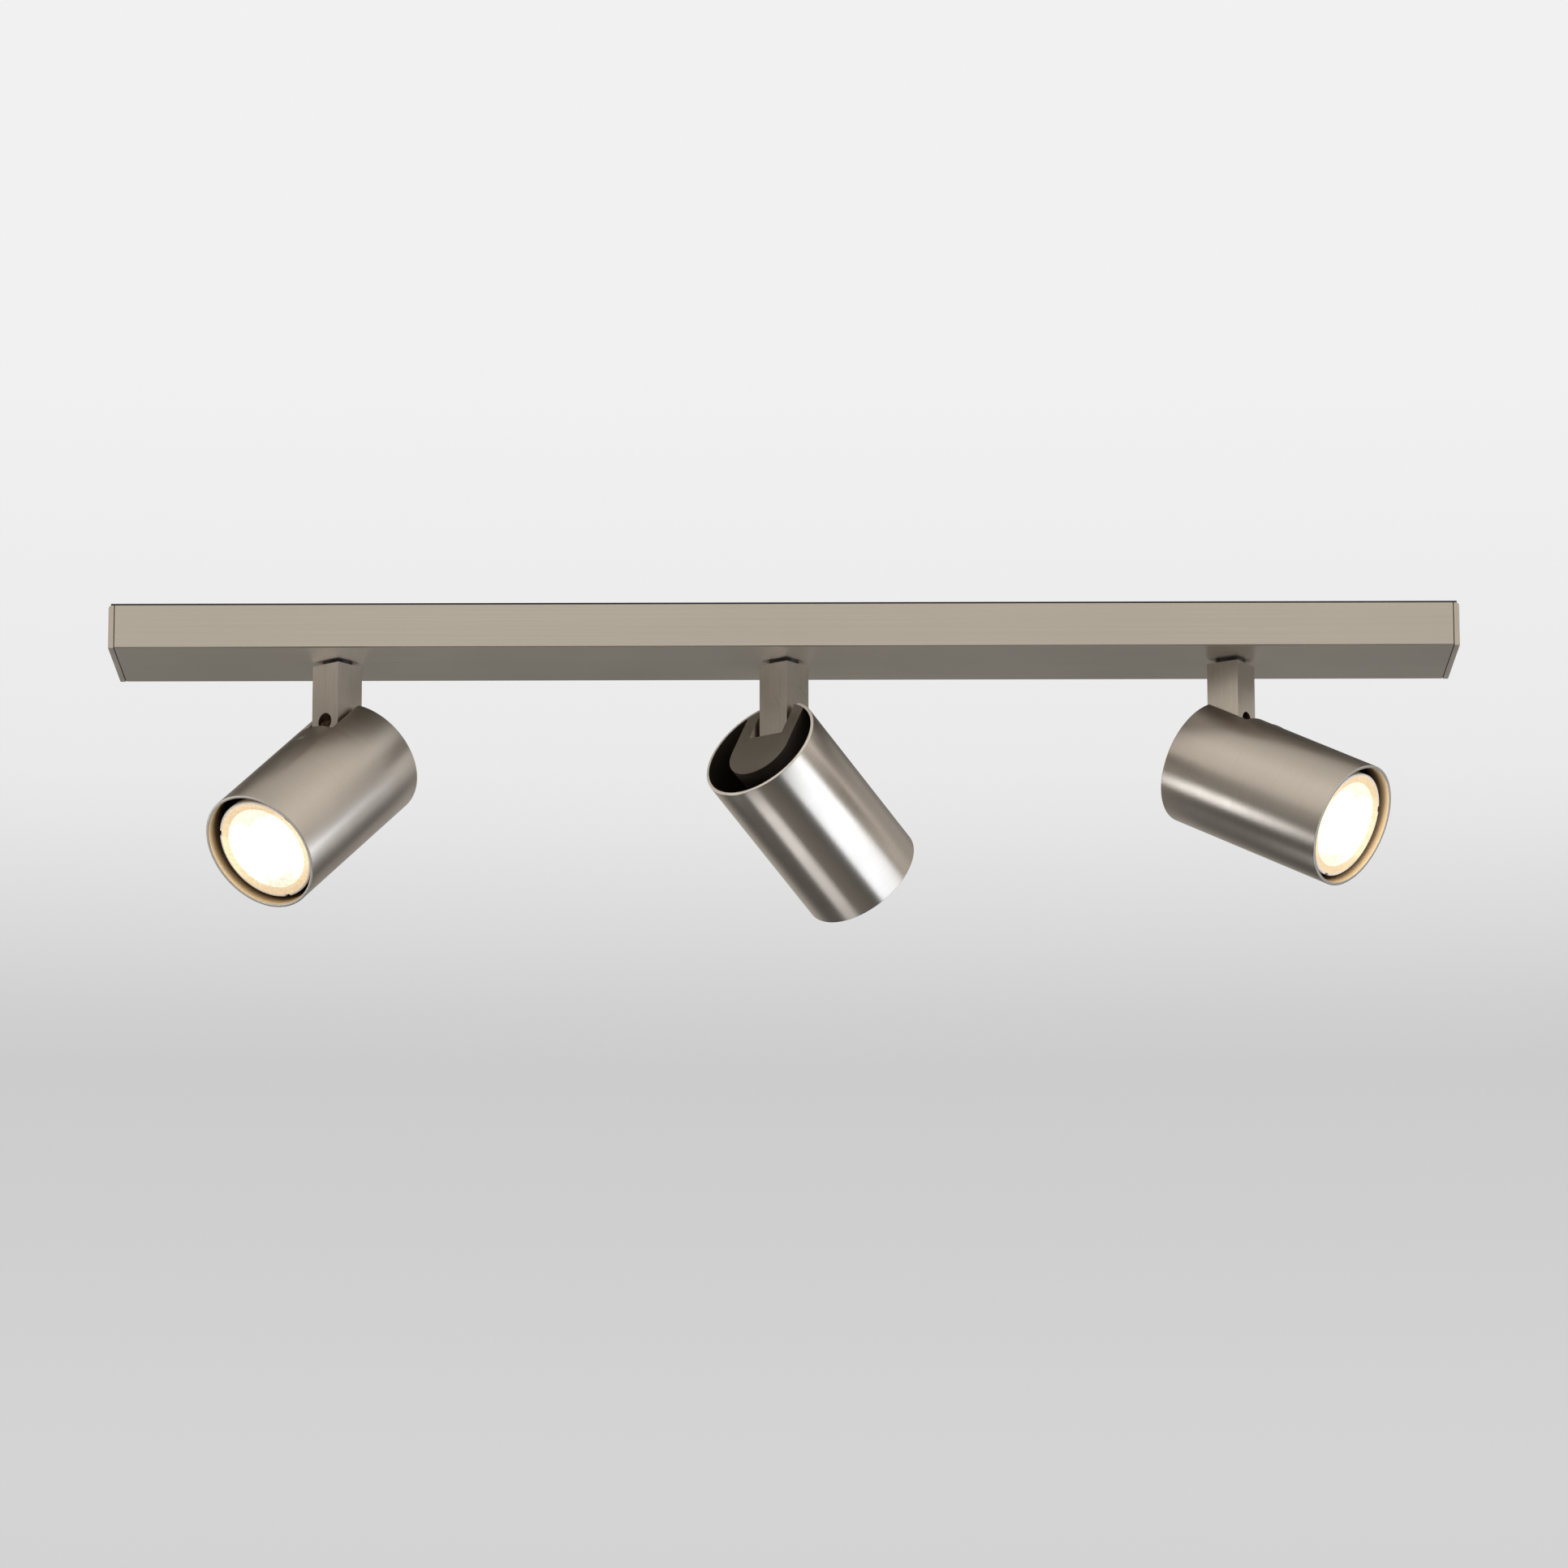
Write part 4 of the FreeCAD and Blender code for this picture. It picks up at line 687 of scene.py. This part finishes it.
@dataclass
class EndCap:
    """An end cap of the bar, with its tongue and the countersinks of its two screws."""

    right: bool
    thickness: float = 3.0
    groove: float = 0.5
    top_corner: float = 1.5
    edge: float = 0.45
    tongue: float = 5.0
    tongue_height: float = 2.0
    wall: float = 1.75
    screw_inset: float = 4.4
    screw_drop: float = 8.8
    sink_radius: float = 2.85
    sink_floor: float = 1.35
    sink_depth: float = 1.5
    screw: Fastener = field(default_factory=lambda: Fastener(crown=0.0, head_height=1.45, length=15.0))

    def build(self, shop: Workshop) -> None:
        """Make the cap and dress it."""
        name = "end_cap_right" if self.right else "end_cap_left"
        low, high = (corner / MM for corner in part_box(name))
        outer = high.x if self.right else -low.x
        inner = outer - self.thickness
        cap = Shape().block(mm(inner + self.groove, low.y, low.z), mm(outer, high.y, high.z))
        self.add_step(cap, inner + self.groove)
        at_top = lambda edge: all(v.co.x > (outer - 0.01) * MM and v.co.z > (high.z - 0.01) * MM for v in edge.verts)
        cap.round_edges(self.top_corner * MM, at_top, 8)
        at_rim = lambda edge: (sum(v.co.x > (outer - 0.01) * MM for v in edge.verts) == 2
                               and edge.calc_face_angle(0.0) > 1.0)
        cap.round_edges(self.edge * MM, at_rim, 4)
        tongue_z = low.z + self.wall
        cap.block(mm(inner - self.tongue, low.y + self.wall, tongue_z),
                  mm(inner + 0.5, high.y - self.wall, tongue_z + self.tongue_height))
        for y in (low.y + self.screw_inset, high.y - self.screw_inset):
            centre = high.z - self.screw_drop
            tool = Shape().rod(mm(outer + 0.01, y, centre), mm(outer - self.sink_depth, y, centre),
                               self.sink_radius * MM, 40, self.sink_floor * MM)
            cap.carve(Carve.CUT, tool)
        # The groove's step faces take the near-black finish, painted shade of the gap between cap and channel.
        cap.paint(1, lambda face: face.calc_center_median().x < (inner + self.groove + 0.01) * MM)
        side = Matrix.Identity(4) if self.right else Matrix.Rotation(math.pi, 4, "Z")
        shop.piece(cap, f"{name}_shell", "bar", ["nickel_satin_post", "cast_painted_shade"], [name], side)

    def add_step(self, cap: Shape, place: float) -> None:
        """Inset the cap's inner face and draw it towards the channel, which leaves the shadow groove."""
        face = next(item for item in cap.bm.faces if item.normal.x < -0.9)
        bmesh.ops.inset_region(cap.bm, faces=[face], thickness=self.groove * MM)
        drawn = bmesh.ops.extrude_face_region(cap.bm, geom=[face])["geom"]
        corners = [item for item in drawn if isinstance(item, BMVert)]
        bmesh.ops.translate(cap.bm, vec=mm(-self.groove, 0, 0), verts=corners)
        bmesh.ops.delete(cap.bm, geom=[face], context="FACES")


@dataclass
class Post:
    """A square post with a round foot, in the frame of its hinge pin."""

    stand: Stand
    side: float = 16.6
    drop: float = 35.3
    edge: float = 0.5
    outlet_radius: float = 4.2
    outlet_rise: float = 7.1
    bore: float = 4.0
    seat_radius: float = 5.0
    seat_depth: float = 9.0
    pin_radius: float = 2.05
    outline_reach: float = 20.0

    def build(self, shop: Workshop) -> None:
        """Make the post and dress it."""
        half = self.side / 2
        post = Shape().block(mm(-half, -half, -half), mm(half, half, self.drop))
        reach = self.outline_reach
        outline = Shape().block(mm(-reach, -half - 1, 0), mm(reach, half + 1, self.drop + 1))
        outline.carve(Carve.JOIN, Shape().rod(mm(-reach, 0, 0), mm(reach, 0, 0), half * MM, 96))
        post.carve(Carve.KEEP, outline)
        tools = [
            Shape().rod(mm(0, 0, self.drop - self.seat_depth), mm(0, 0, self.drop + 1), self.seat_radius * MM, 48),
            Shape().rod(mm(0, 0, self.outlet_rise), mm(0, 0, self.drop), self.bore * MM, 48),
            Shape().rod(mm(0, -half - 1, self.outlet_rise), mm(0, 1, self.outlet_rise), self.outlet_radius * MM, 64),
            Shape().rod(mm(-half - 1, 0, 0), mm(half + 1, 0, 0), self.pin_radius * MM, 40),
        ]
        for tool in tools:
            post.carve(Carve.CUT, tool)
        name = self.stand.side.value
        # The rounded edges take the pale finish, a painted highlight.
        shop.piece(post, f"square_post_{name}", f"post_{name}", ["nickel_satin_post", "nickel_edge_painted_highlight"],
                   [f"post_{name}"], self.stand.post_place, self.edge * MM, 1)


@dataclass
class Head:
    """One head: tube, yoke, screw and lamp, in the frame of the tube's rear rim."""

    stand: Stand
    radius: float = 30.0
    wall: float = 1.5
    length: float = 91.55
    hinge_depth: float = 11.6
    rim_rise: float = 11.4
    slot_half: float = 11.7
    slot_length: float = 22.5
    rim_edge: float = 0.34
    slot_edge: float = 0.6
    yoke_half: float = 16.75
    yoke_slot_half: float = 9.85
    yoke_length: float = 20.75
    yoke_plate: float = 3.0
    yoke_wall: float = 2.0
    yoke_floor: float = -8.2
    yoke_edge: float = 0.5
    arm_height: float = 13.0
    arm_reach: float = 39.0
    bridge_start: float = 27.0
    bridge_height: float = 5.0
    screw_place: float = 33.0
    screw_rise: float = 0.02
    pin_radius: float = 2.0
    pin_head_radius: float = 3.5
    pin_head_height: float = 2.2
    pillar_place: float = 9.5
    pillar_radius: float = 3.0
    pillar_end: float = 22.15
    lead_port: float = 8.2
    lead_port_radius: float = 3.2
    lamp_side: float = 0.55
    lamp_drop: float = 0.85
    lamp_face: float = 88.15
    lamp_back: float = 37.65
    lamp_radius: float = 25.5
    lens_radius: float = 20.8
    lens_crown: float = 0.6
    lens_depth: float = 3.0
    lens_rings: int = 13
    lens_steps: int = 104
    facet_groove: float = 0.12
    facet_rise: float = 0.10
    tooth_share: float = 0.975
    notch_half: float = 1.5
    notch_depth: float = 1.0

    @property
    def inner(self) -> float:
        """Inner radius of the tube."""
        return self.radius - self.wall

    @property
    def axis_offset(self) -> float:
        """The tube's axis from the hinge pin."""
        return self.inner - self.hinge_depth

    @property
    def name(self) -> str:
        """The side's name."""
        return self.stand.side.value

    @property
    def place(self) -> Matrix:
        """From the head's frame to the bar's frame."""
        return self.stand.head_place(self.axis_offset * MM, self.rim_rise * MM)

    @property
    def lamp_place(self) -> Matrix:
        """From the lamp's frame to the bar's frame."""
        return self.place @ Matrix.Translation(mm(self.lamp_side, self.lamp_drop, 0))

    def build(self, shop: Workshop) -> None:
        """Make the head's pieces and dress them."""
        self.build_tube(shop)
        self.build_yoke(shop)
        self.build_screw(shop)
        self.build_lamp(shop)
        self.build_lens(shop)

    def build_tube(self, shop: Workshop) -> None:
        """The round tube with its slot, from an open cylinder that gets its wall last."""
        tube = Shape()
        bmesh.ops.create_cone(tube.bm, cap_ends=False, segments=160, radius1=self.radius * MM,
                              radius2=self.radius * MM, depth=self.length * MM)
        bmesh.ops.translate(tube.bm, vec=mm(0, 0, -self.length / 2), verts=tube.bm.verts)
        cuts = [(mm(0, 0, -self.slot_length), Vector((0, 0, 1))),
                (mm(self.slot_half, 0, 0), Vector((1, 0, 0))), (mm(-self.slot_half, 0, 0), Vector((1, 0, 0)))]
        for point, normal in cuts:
            bmesh.ops.bisect_plane(tube.bm, geom=tube.bm.verts[:] + tube.bm.edges[:] + tube.bm.faces[:],
                                   dist=1e-6, plane_co=point, plane_no=normal)
        opened = [face for face in tube.bm.faces if self.in_slot(face.calc_center_median() / MM)]
        bmesh.ops.delete(tube.bm, geom=opened, context="FACES")
        bmesh.ops.recalc_face_normals(tube.bm, faces=tube.bm.faces)
        outward = tube.bm.faces[:][0]
        if outward.normal.dot(outward.calc_center_median() * Vector((1, 1, 0))) < 0:
            bmesh.ops.reverse_faces(tube.bm, faces=tube.bm.faces)
        bmesh.ops.solidify(tube.bm, geom=tube.bm.faces[:], thickness=self.wall * MM)
        sharp = sharper_than(60)
        tube.round_edges(self.slot_edge * MM, lambda edge: sharp(edge) and all(map(self.at_rear, edge.verts)), 3)
        tube.round_edges(self.rim_edge * MM, sharp, 3)
        # The inner wall takes the finish with painted shade and painted lamp glow.
        inside = self.inner + 0.15
        tube.paint(1, lambda face: (math.hypot(*(face.calc_center_median() / MM).xy) < inside
                                    and abs(face.normal.z) < 0.3))
        # Cut ends and slot edges take the pale finish, a painted highlight; the front rim then takes the darker rim
        # finish.
        tube.paint(2, self.on_cut)
        tube.paint(3, lambda face: self.on_cut(face) and face.calc_center_median().z < (1 - self.length) * MM)
        tube.wrap()
        shop.piece(tube, f"round_tube_{self.name}", f"head_{self.name}",
                   ["nickel_brushed_round", "tube_inside_painted_shade_and_glow", "nickel_cut_painted_highlight", "nickel_rim"],
                   [f"head_tube_{self.name}"], self.place)

    def at_rear(self, vert: BMVert) -> bool:
        """Whether a corner is on the outside of the tube, at its slot or its rear rim."""
        return vert.co.xy.length > (self.radius - 0.1) * MM and vert.co.z > (-self.slot_length - 0.5) * MM

    def on_cut(self, face: BMFace) -> bool:
        """Whether a face is on a cut end or on the slot's edge, and neither outside nor inside."""
        place = face.calc_center_median()
        outward = Vector((place.x, place.y, 0)).normalized()
        return abs(face.normal.dot(outward)) < 0.9

    def in_slot(self, place: Vector) -> bool:
        """Whether a place on the tube, in millimetres, is in its slot."""
        return place.z > -self.slot_length and abs(place.x) < self.slot_half and place.y < 0

    def build_yoke(self, shop: Workshop) -> None:
        """The cast part that holds the tube, the pin and the lampholder."""
        half, slot = self.yoke_half, self.yoke_slot_half
        back, end = -self.inner - 1, -self.yoke_length
        yoke = Shape().rod(mm(0, 0, end), mm(0, 0, 0), half * MM, 128)
        yoke.carve(Carve.JOIN, Shape().block(mm(-half, back, end), mm(half, 0, 0)))
        yoke.carve(Carve.JOIN, Shape().block(mm(-half, back, -self.arm_reach),
                                             mm(half, self.arm_height - self.inner, end + 1)))
        yoke.carve(Carve.KEEP, Shape().rod(mm(0, 0, -60), mm(0, 0, 1), (self.inner - 0.05) * MM, 160))
        hollow = Shape().rod(mm(0, 0, end - 1), mm(0, 0, -self.yoke_plate), (half - self.yoke_wall) * MM, 96)
        hollow.carve(Carve.KEEP, Shape().block(mm(-half, self.yoke_floor + self.yoke_wall, end - 2),
                                               mm(half, half, -self.yoke_plate)))
        tools = [
            hollow,
            Shape().block(mm(-slot, back - 1, -self.bridge_start), mm(slot, self.yoke_floor, 1)),
            Shape().block(mm(-slot, self.bridge_height - self.inner, -self.arm_reach - 1),
                          mm(slot, self.yoke_floor, 0.5 - self.bridge_start)),
            Shape().rod(mm(-half - 1, -self.axis_offset, -self.rim_rise),
                        mm(half + 1, -self.axis_offset, -self.rim_rise), self.pin_radius * MM, 40),
            Shape().rod(mm(half - self.pin_head_height, -self.axis_offset, -self.rim_rise),
                        mm(half + 1, -self.axis_offset, -self.rim_rise), self.pin_head_radius * MM, 48),
            Shape().rod(mm(0, self.yoke_floor - 1, -self.lead_port),
                        mm(0, self.yoke_floor + self.yoke_wall + 1, -self.lead_port), self.lead_port_radius * MM, 48),
        ]
        for tool in tools:
            yoke.carve(Carve.CUT, tool)
        for x in (-self.pillar_place, self.pillar_place):
            foot, y = x + self.lamp_side, self.lamp_drop
            yoke.carve(Carve.JOIN, Shape().rod(mm(foot, y, -self.pillar_end), mm(foot, y, 0.5 - self.yoke_plate),
                                               self.pillar_radius * MM, 48))
        # The yoke's faces next to the tube wall take the near-black finish, painted shade in the gap beside the post.
        yoke.paint(1, lambda face: math.hypot(*(face.calc_center_median() / MM).xy) > self.inner - 0.4)
        shop.piece(yoke, f"cast_yoke_{self.name}", f"head_{self.name}", ["nickel_cast", "cast_painted_shade"],
                   [f"yoke_{self.name}"], self.place, self.yoke_edge * MM)

    def build_screw(self, shop: Workshop) -> None:
        """The screw through the tube wall into the yoke's bridge."""
        seat = Matrix.Translation(mm(0, -self.radius - self.screw_rise, -self.screw_place))
        shop.piece(Fastener().shape(), f"wall_screw_{self.name}", f"head_{self.name}", ["steel"],
                   [f"tube_screw_{self.name}"], self.place @ seat @ Matrix.Rotation(math.pi / 2, 4, "X"))

    def build_lamp(self, shop: Workshop) -> None:
        """The lamp's body: base, flare, notched lip and the lit ring round the lens."""
        face, back, rim, seat = -self.lamp_face, -self.lamp_back, self.lamp_radius, self.lens_radius + 0.1
        lamp = Shape().turning([
            (0, back), (9.2, back), (9.6, back - 0.4), (9.6, back - 9.0), (13.8, back - 14.0), (17.0, back - 21.5),
            (20.6, back - 33.0), (24.0, face + 3.9), (rim - 0.3, face + 3.6), (rim, face + 3.3), (rim, face + 0.35),
            (rim - 0.35, face), (rim - 1.0, face), (rim - 1.2, face + 0.3), (rim - 2.0, face + 0.25),
            (rim - 2.2, face + 0.5), (rim - 3.1, face + 0.45), (rim - 3.3, face + 0.75), (seat + 0.2, face + 0.8),
            (seat, face + 1.0), (seat, face + 3.0), (0, face + 3.0)], 144)
        for turn in (60, 180, 300):
            notch = Shape().block(mm(-self.notch_half, -rim - 1, face - 1),
                                  mm(self.notch_half, self.notch_depth - rim, face + 4.5))
            bmesh.ops.rotate(notch.bm, cent=(0, 0, 0), matrix=Matrix.Rotation(math.radians(turn), 3, "Z"),
                             verts=notch.bm.verts)
            lamp.carve(Carve.CUT, notch)
        lamp.paint(1, lambda item: self.ring_zone(item, rim - 1.1, rim + 1, 4.2))
        lamp.paint(2, lambda item: self.ring_zone(item, 0.0, rim - 1.1, 3.2))
        lamp.face_on(self.lens_radius * MM)
        shop.piece(lamp, f"reflector_lamp_{self.name}", f"head_{self.name}", ["lamp_shell", "lamp_lip", "lamp_ring"],
                   [f"lamp_body_{self.name}"], self.lamp_place)

    def ring_zone(self, item: BMFace, low: float, high: float, depth: float) -> bool:
        """Whether a face is between two radii and within a depth of the lamp's face, in millimetres."""
        place = item.calc_center_median() / MM
        return low < math.hypot(place.x, place.y) < high and place.z < depth - self.lamp_face

    def build_lens(self, shop: Workshop) -> None:
        """The lens: a crowned disc of many small facets, with a toothed edge."""
        face, radius, rings = -self.lamp_face, self.lens_radius, self.lens_rings
        crown = [(radius * ring / rings, face + 0.1 + self.lens_crown * (ring / rings) ** 2)
                 for ring in range(rings + 1)]
        lens = Shape().turning([*crown, (radius, face + self.lens_depth), (0, face + self.lens_depth)],
                               self.lens_steps)
        facets = [item for item in lens.bm.faces if item.normal.z < -0.8 and len(item.verts) == 4
                  and item.calc_center_median().z < (face + 0.9) * MM]
        bmesh.ops.inset_individual(lens.bm, faces=facets, thickness=self.facet_groove * MM,
                                   depth=self.facet_rise * MM)
        half_steps = self.lens_steps / 2
        teeth = [vert for vert in lens.bm.verts if vert.co.xy.length > (radius - 0.01) * MM
                 and round(math.atan2(vert.co.y, vert.co.x) * half_steps / math.pi) % 2]
        bmesh.ops.scale(lens.bm, vec=(self.tooth_share, self.tooth_share, 1.0), verts=teeth)
        lens.face_on(radius * MM)
        shop.piece(lens, f"lamp_glass_{self.name}", f"head_{self.name}", ["lamp_lens"],
                   [f"lamp_lens_{self.name}"], self.lamp_place)


@dataclass
class Carried:
    """The CAD nodes whose shape is right, with the finish of each."""

    bar: dict[str, str] = field(default_factory=lambda: {
        "bar_channel": "nickel_brushed_along", "mounting_plate": "black_paint", "end_cap_screws": "steel",
        "channel_fixing_screws": "steel", "entry_bush": "rubber", "terminal_block": "white_nylon",
        "terminal_screws": "brass", "earth_screw": "brass", "earth_lead": "earth_sleeve",
        "bar_leads": "lead_sleeve", "swivel_glide_washers": "black_nylon", "swivel_stop_plates": "steel",
        "swivel_spring_washers": "steel"})
    each_side: dict[str, str] = field(default_factory=lambda: {
        "swivel_tube": "brass", "swivel_nut": "brass", "post_leads": "lead_sleeve", "hinge_pin": "steel",
        "friction_washers": "black_nylon", "lampholder": "ceramic", "lampholder_screws": "steel",
        "head_leads": "lead_sleeve", "lamp_pins": "brass"})

    def build(self, shop: Workshop) -> None:
        """Dress every carried node."""
        wanted = dict(self.bar)
        for side in Side:
            wanted.update({f"{stem}_{side.value}": finish for stem, finish in self.each_side.items()})
        for node, finish in wanted.items():
            carried = frame["nodes"][node]
            if not carried.material_slots:
                carried.data.materials.append(shop.finish(finish))
            for place in carried.material_slots:
                place.material = shop.finish(finish)
            LOG.info("%s: carried over in %s", node, finish)


# ---- the studio


@dataclass(frozen=True)
class Softbox:
    """A large soft light that isn't seen itself."""

    name: str
    place: Colour
    aim: Colour
    width: float
    height: float
    power: float
    colour: Colour = (0.95, 1.0, 1.05)

    def build(self) -> None:
        """Hang the light."""
        light = bpy.data.lights.new(self.name, "AREA")
        light.shape = "RECTANGLE"
        light.size, light.size_y = self.width, self.height
        light.energy = self.power
        light.color = self.colour
        hung = bpy.data.objects.new(self.name, light)
        hung.location = self.place
        hung.rotation_mode = "QUATERNION"
        hung.rotation_quaternion = (Vector(self.aim) - Vector(self.place)).to_track_quat("-Z", "Y")
        hung.visible_camera = False
        bpy.context.scene.collection.objects.link(hung)


@dataclass(frozen=True)
class Patch:
    """A round lighter or darker area of the surroundings."""

    azimuth: float
    elevation: float
    inner: float
    outer: float
    grey: float

    @property
    def direction(self) -> Colour:
        """The way to its middle, with azimuth 0 on the viewer's side and 90 to the right."""
        turn, rise = math.radians(self.azimuth), math.radians(self.elevation)
        return math.sin(turn) * math.cos(rise), -math.cos(turn) * math.cos(rise), math.sin(rise)

    def over(self, room: Socket, place: Socket, tree: Tree) -> Socket:
        """Lay the patch over the surroundings.

        Args:
            room: The colour made so far.
            place: The way that is looked.
            tree: The world's nodes.

        Returns:
            The colour with the patch on it.
        """
        nearness = tree.add("ShaderNodeVectorMath", {0: place, 1: self.direction}, operation="DOT_PRODUCT")
        edges = {"From Min": math.cos(math.radians(self.outer)), "From Max": math.cos(math.radians(self.inner))}
        share = tree.add("ShaderNodeMapRange", {"Value": nearness.outputs["Value"], **edges},
                         interpolation_type="SMOOTHSTEP").outputs["Result"]
        return tree.blend(share, room, (self.grey,) * 3)


@dataclass
class Studio:
    """Pale floor, soft light, pale surroundings and the camera."""

    floor_drop: float = 1.6
    floor_span: float = 60.0
    warmth: Colour = (1.0, 0.965, 0.90)
    backdrop: Shades = (
        (0.0, 0.55), (0.52, 0.60), (0.567, 0.66), (0.595, 0.60), (0.612, 0.82), (0.64, 0.88), (1.0, 0.90))
    room: Shades = (
        (0.0, 0.26), (0.07, 0.12), (0.25, 0.10), (0.34, 0.26), (0.40, 0.46), (0.5, 0.50), (0.56, 0.72),
        (0.62, 0.86), (0.85, 0.98), (1.0, 0.66))
    camera_place: Colour = (0.0069, -3.458, -0.8787)
    camera_aim: Colour = (-0.0001, 0.0, -0.0809)
    camera_roll: float = -0.106
    camera_lens: float = 171.2
    boxes: tuple[Softbox, ...] = (
        Softbox("right_box", (1.36, -0.38, -0.86), (0, 0, -0.1), 1.2, 1.35, 13.0, (0.87, 0.98, 1.12)),
        Softbox("left_box", (-1.05, -0.08, -0.60), (0.21, 0, -0.09), 0.52, 0.34, 1.75),
        Softbox("under_box", (-0.26, 0.24, -1.4), (0, 0, -0.1), 0.50, 0.50, 1.5),
    )
    patches: tuple[Patch, ...] = (
        Patch(134, 22, 12, 30, 0.46),
        Patch(180, 50, 22, 42, 0.07),
        Patch(-81, 6, 8, 16, 0.14),
        Patch(104, 5, 4, 12, 0.95),
        Patch(134, -7, 4, 15, 0.14),
    )

    def build(self) -> None:
        """Set everything up."""
        self.build_floor()
        self.build_surroundings()
        for box in self.boxes:
            box.build()
        self.build_camera()
        bpy.context.scene.view_settings.view_transform = "Standard"

    def build_floor(self) -> None:
        """The floor, far under the fixture. The metal shows the surroundings' own shade in its place."""
        ground = Shape()
        bmesh.ops.create_grid(ground.bm, x_segments=1, y_segments=1, size=self.floor_span / 2,
                              matrix=Matrix.Translation((0, 0, -self.floor_drop)))
        floor = ground.as_object("studio_floor")
        ground.bm.free()
        recipe = Recipe("studio_floor")
        cloud = recipe.noise(recipe.place((1.0, 1.0, 1.0)), 0.8, 2.0)
        floor.data.materials.append(recipe.done(
            Base_Color=recipe.blend(recipe.span(cloud, 0.0, 1.0), (0.78, 0.81, 0.86), (0.80, 0.83, 0.88)),
            Roughness=recipe.span(cloud, 0.75, 0.85)))
        floor.visible_glossy = False

    def build_surroundings(self) -> None:
        """A pale backdrop that fades downwards, and a room of soft light and shade in the reflections."""
        world = bpy.data.worlds.new("studio")
        bpy.context.scene.world = world
        world.use_nodes = True
        world.node_tree.nodes.clear()
        tree = Tree(world.node_tree)
        place = tree.add("ShaderNodeTexCoord").outputs["Generated"]
        height = tree.add("ShaderNodeSeparateXYZ", {0: place}).outputs[2]
        room = tree.ramp(height, self.room)
        for patch in self.patches:
            room = patch.over(room, place, tree)
        room = tree.blend(1.0, room, self.warmth, "MULTIPLY")
        seen = tree.ramp(height, self.backdrop)
        glow, view = (tree.add("ShaderNodeBackground", {0: colour}).outputs[0] for colour in (room, seen))
        by_eye = tree.add("ShaderNodeLightPath").outputs["Is Camera Ray"]
        mix = tree.add("ShaderNodeMixShader", {0: by_eye, 1: glow, 2: view})
        tree.add("ShaderNodeOutputWorld", {0: mix.outputs[0]})

    def build_camera(self) -> None:
        """The camera, a little below the bar and looking up at it."""
        lens = bpy.data.cameras.new("camera")
        lens.lens = self.camera_lens
        lens.clip_end = 200.0
        camera = bpy.data.objects.new("camera", lens)
        camera.location = self.camera_place
        aim = (Vector(self.camera_aim) - camera.location).to_track_quat("-Z", "Y")
        roll = Matrix.Rotation(math.radians(self.camera_roll), 3, "Z").to_quaternion()
        camera.rotation_mode = "QUATERNION"
        camera.rotation_quaternion = aim @ roll
        bpy.context.scene.collection.objects.link(camera)
        bpy.context.scene.camera = camera


def main() -> None:
    """Build every piece in order, then the studio."""
    logging.basicConfig(level=logging.INFO, format="%(message)s")
    shop = Workshop()
    Carried().build(shop)
    for right in (False, True):
        EndCap(right).build(shop)
    for side in Side:
        stand = Stand.of(side)
        Post(stand).build(shop)
        Head(stand).build(shop)
    Studio().build()
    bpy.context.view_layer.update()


if __name__ == "__main__":
    main()
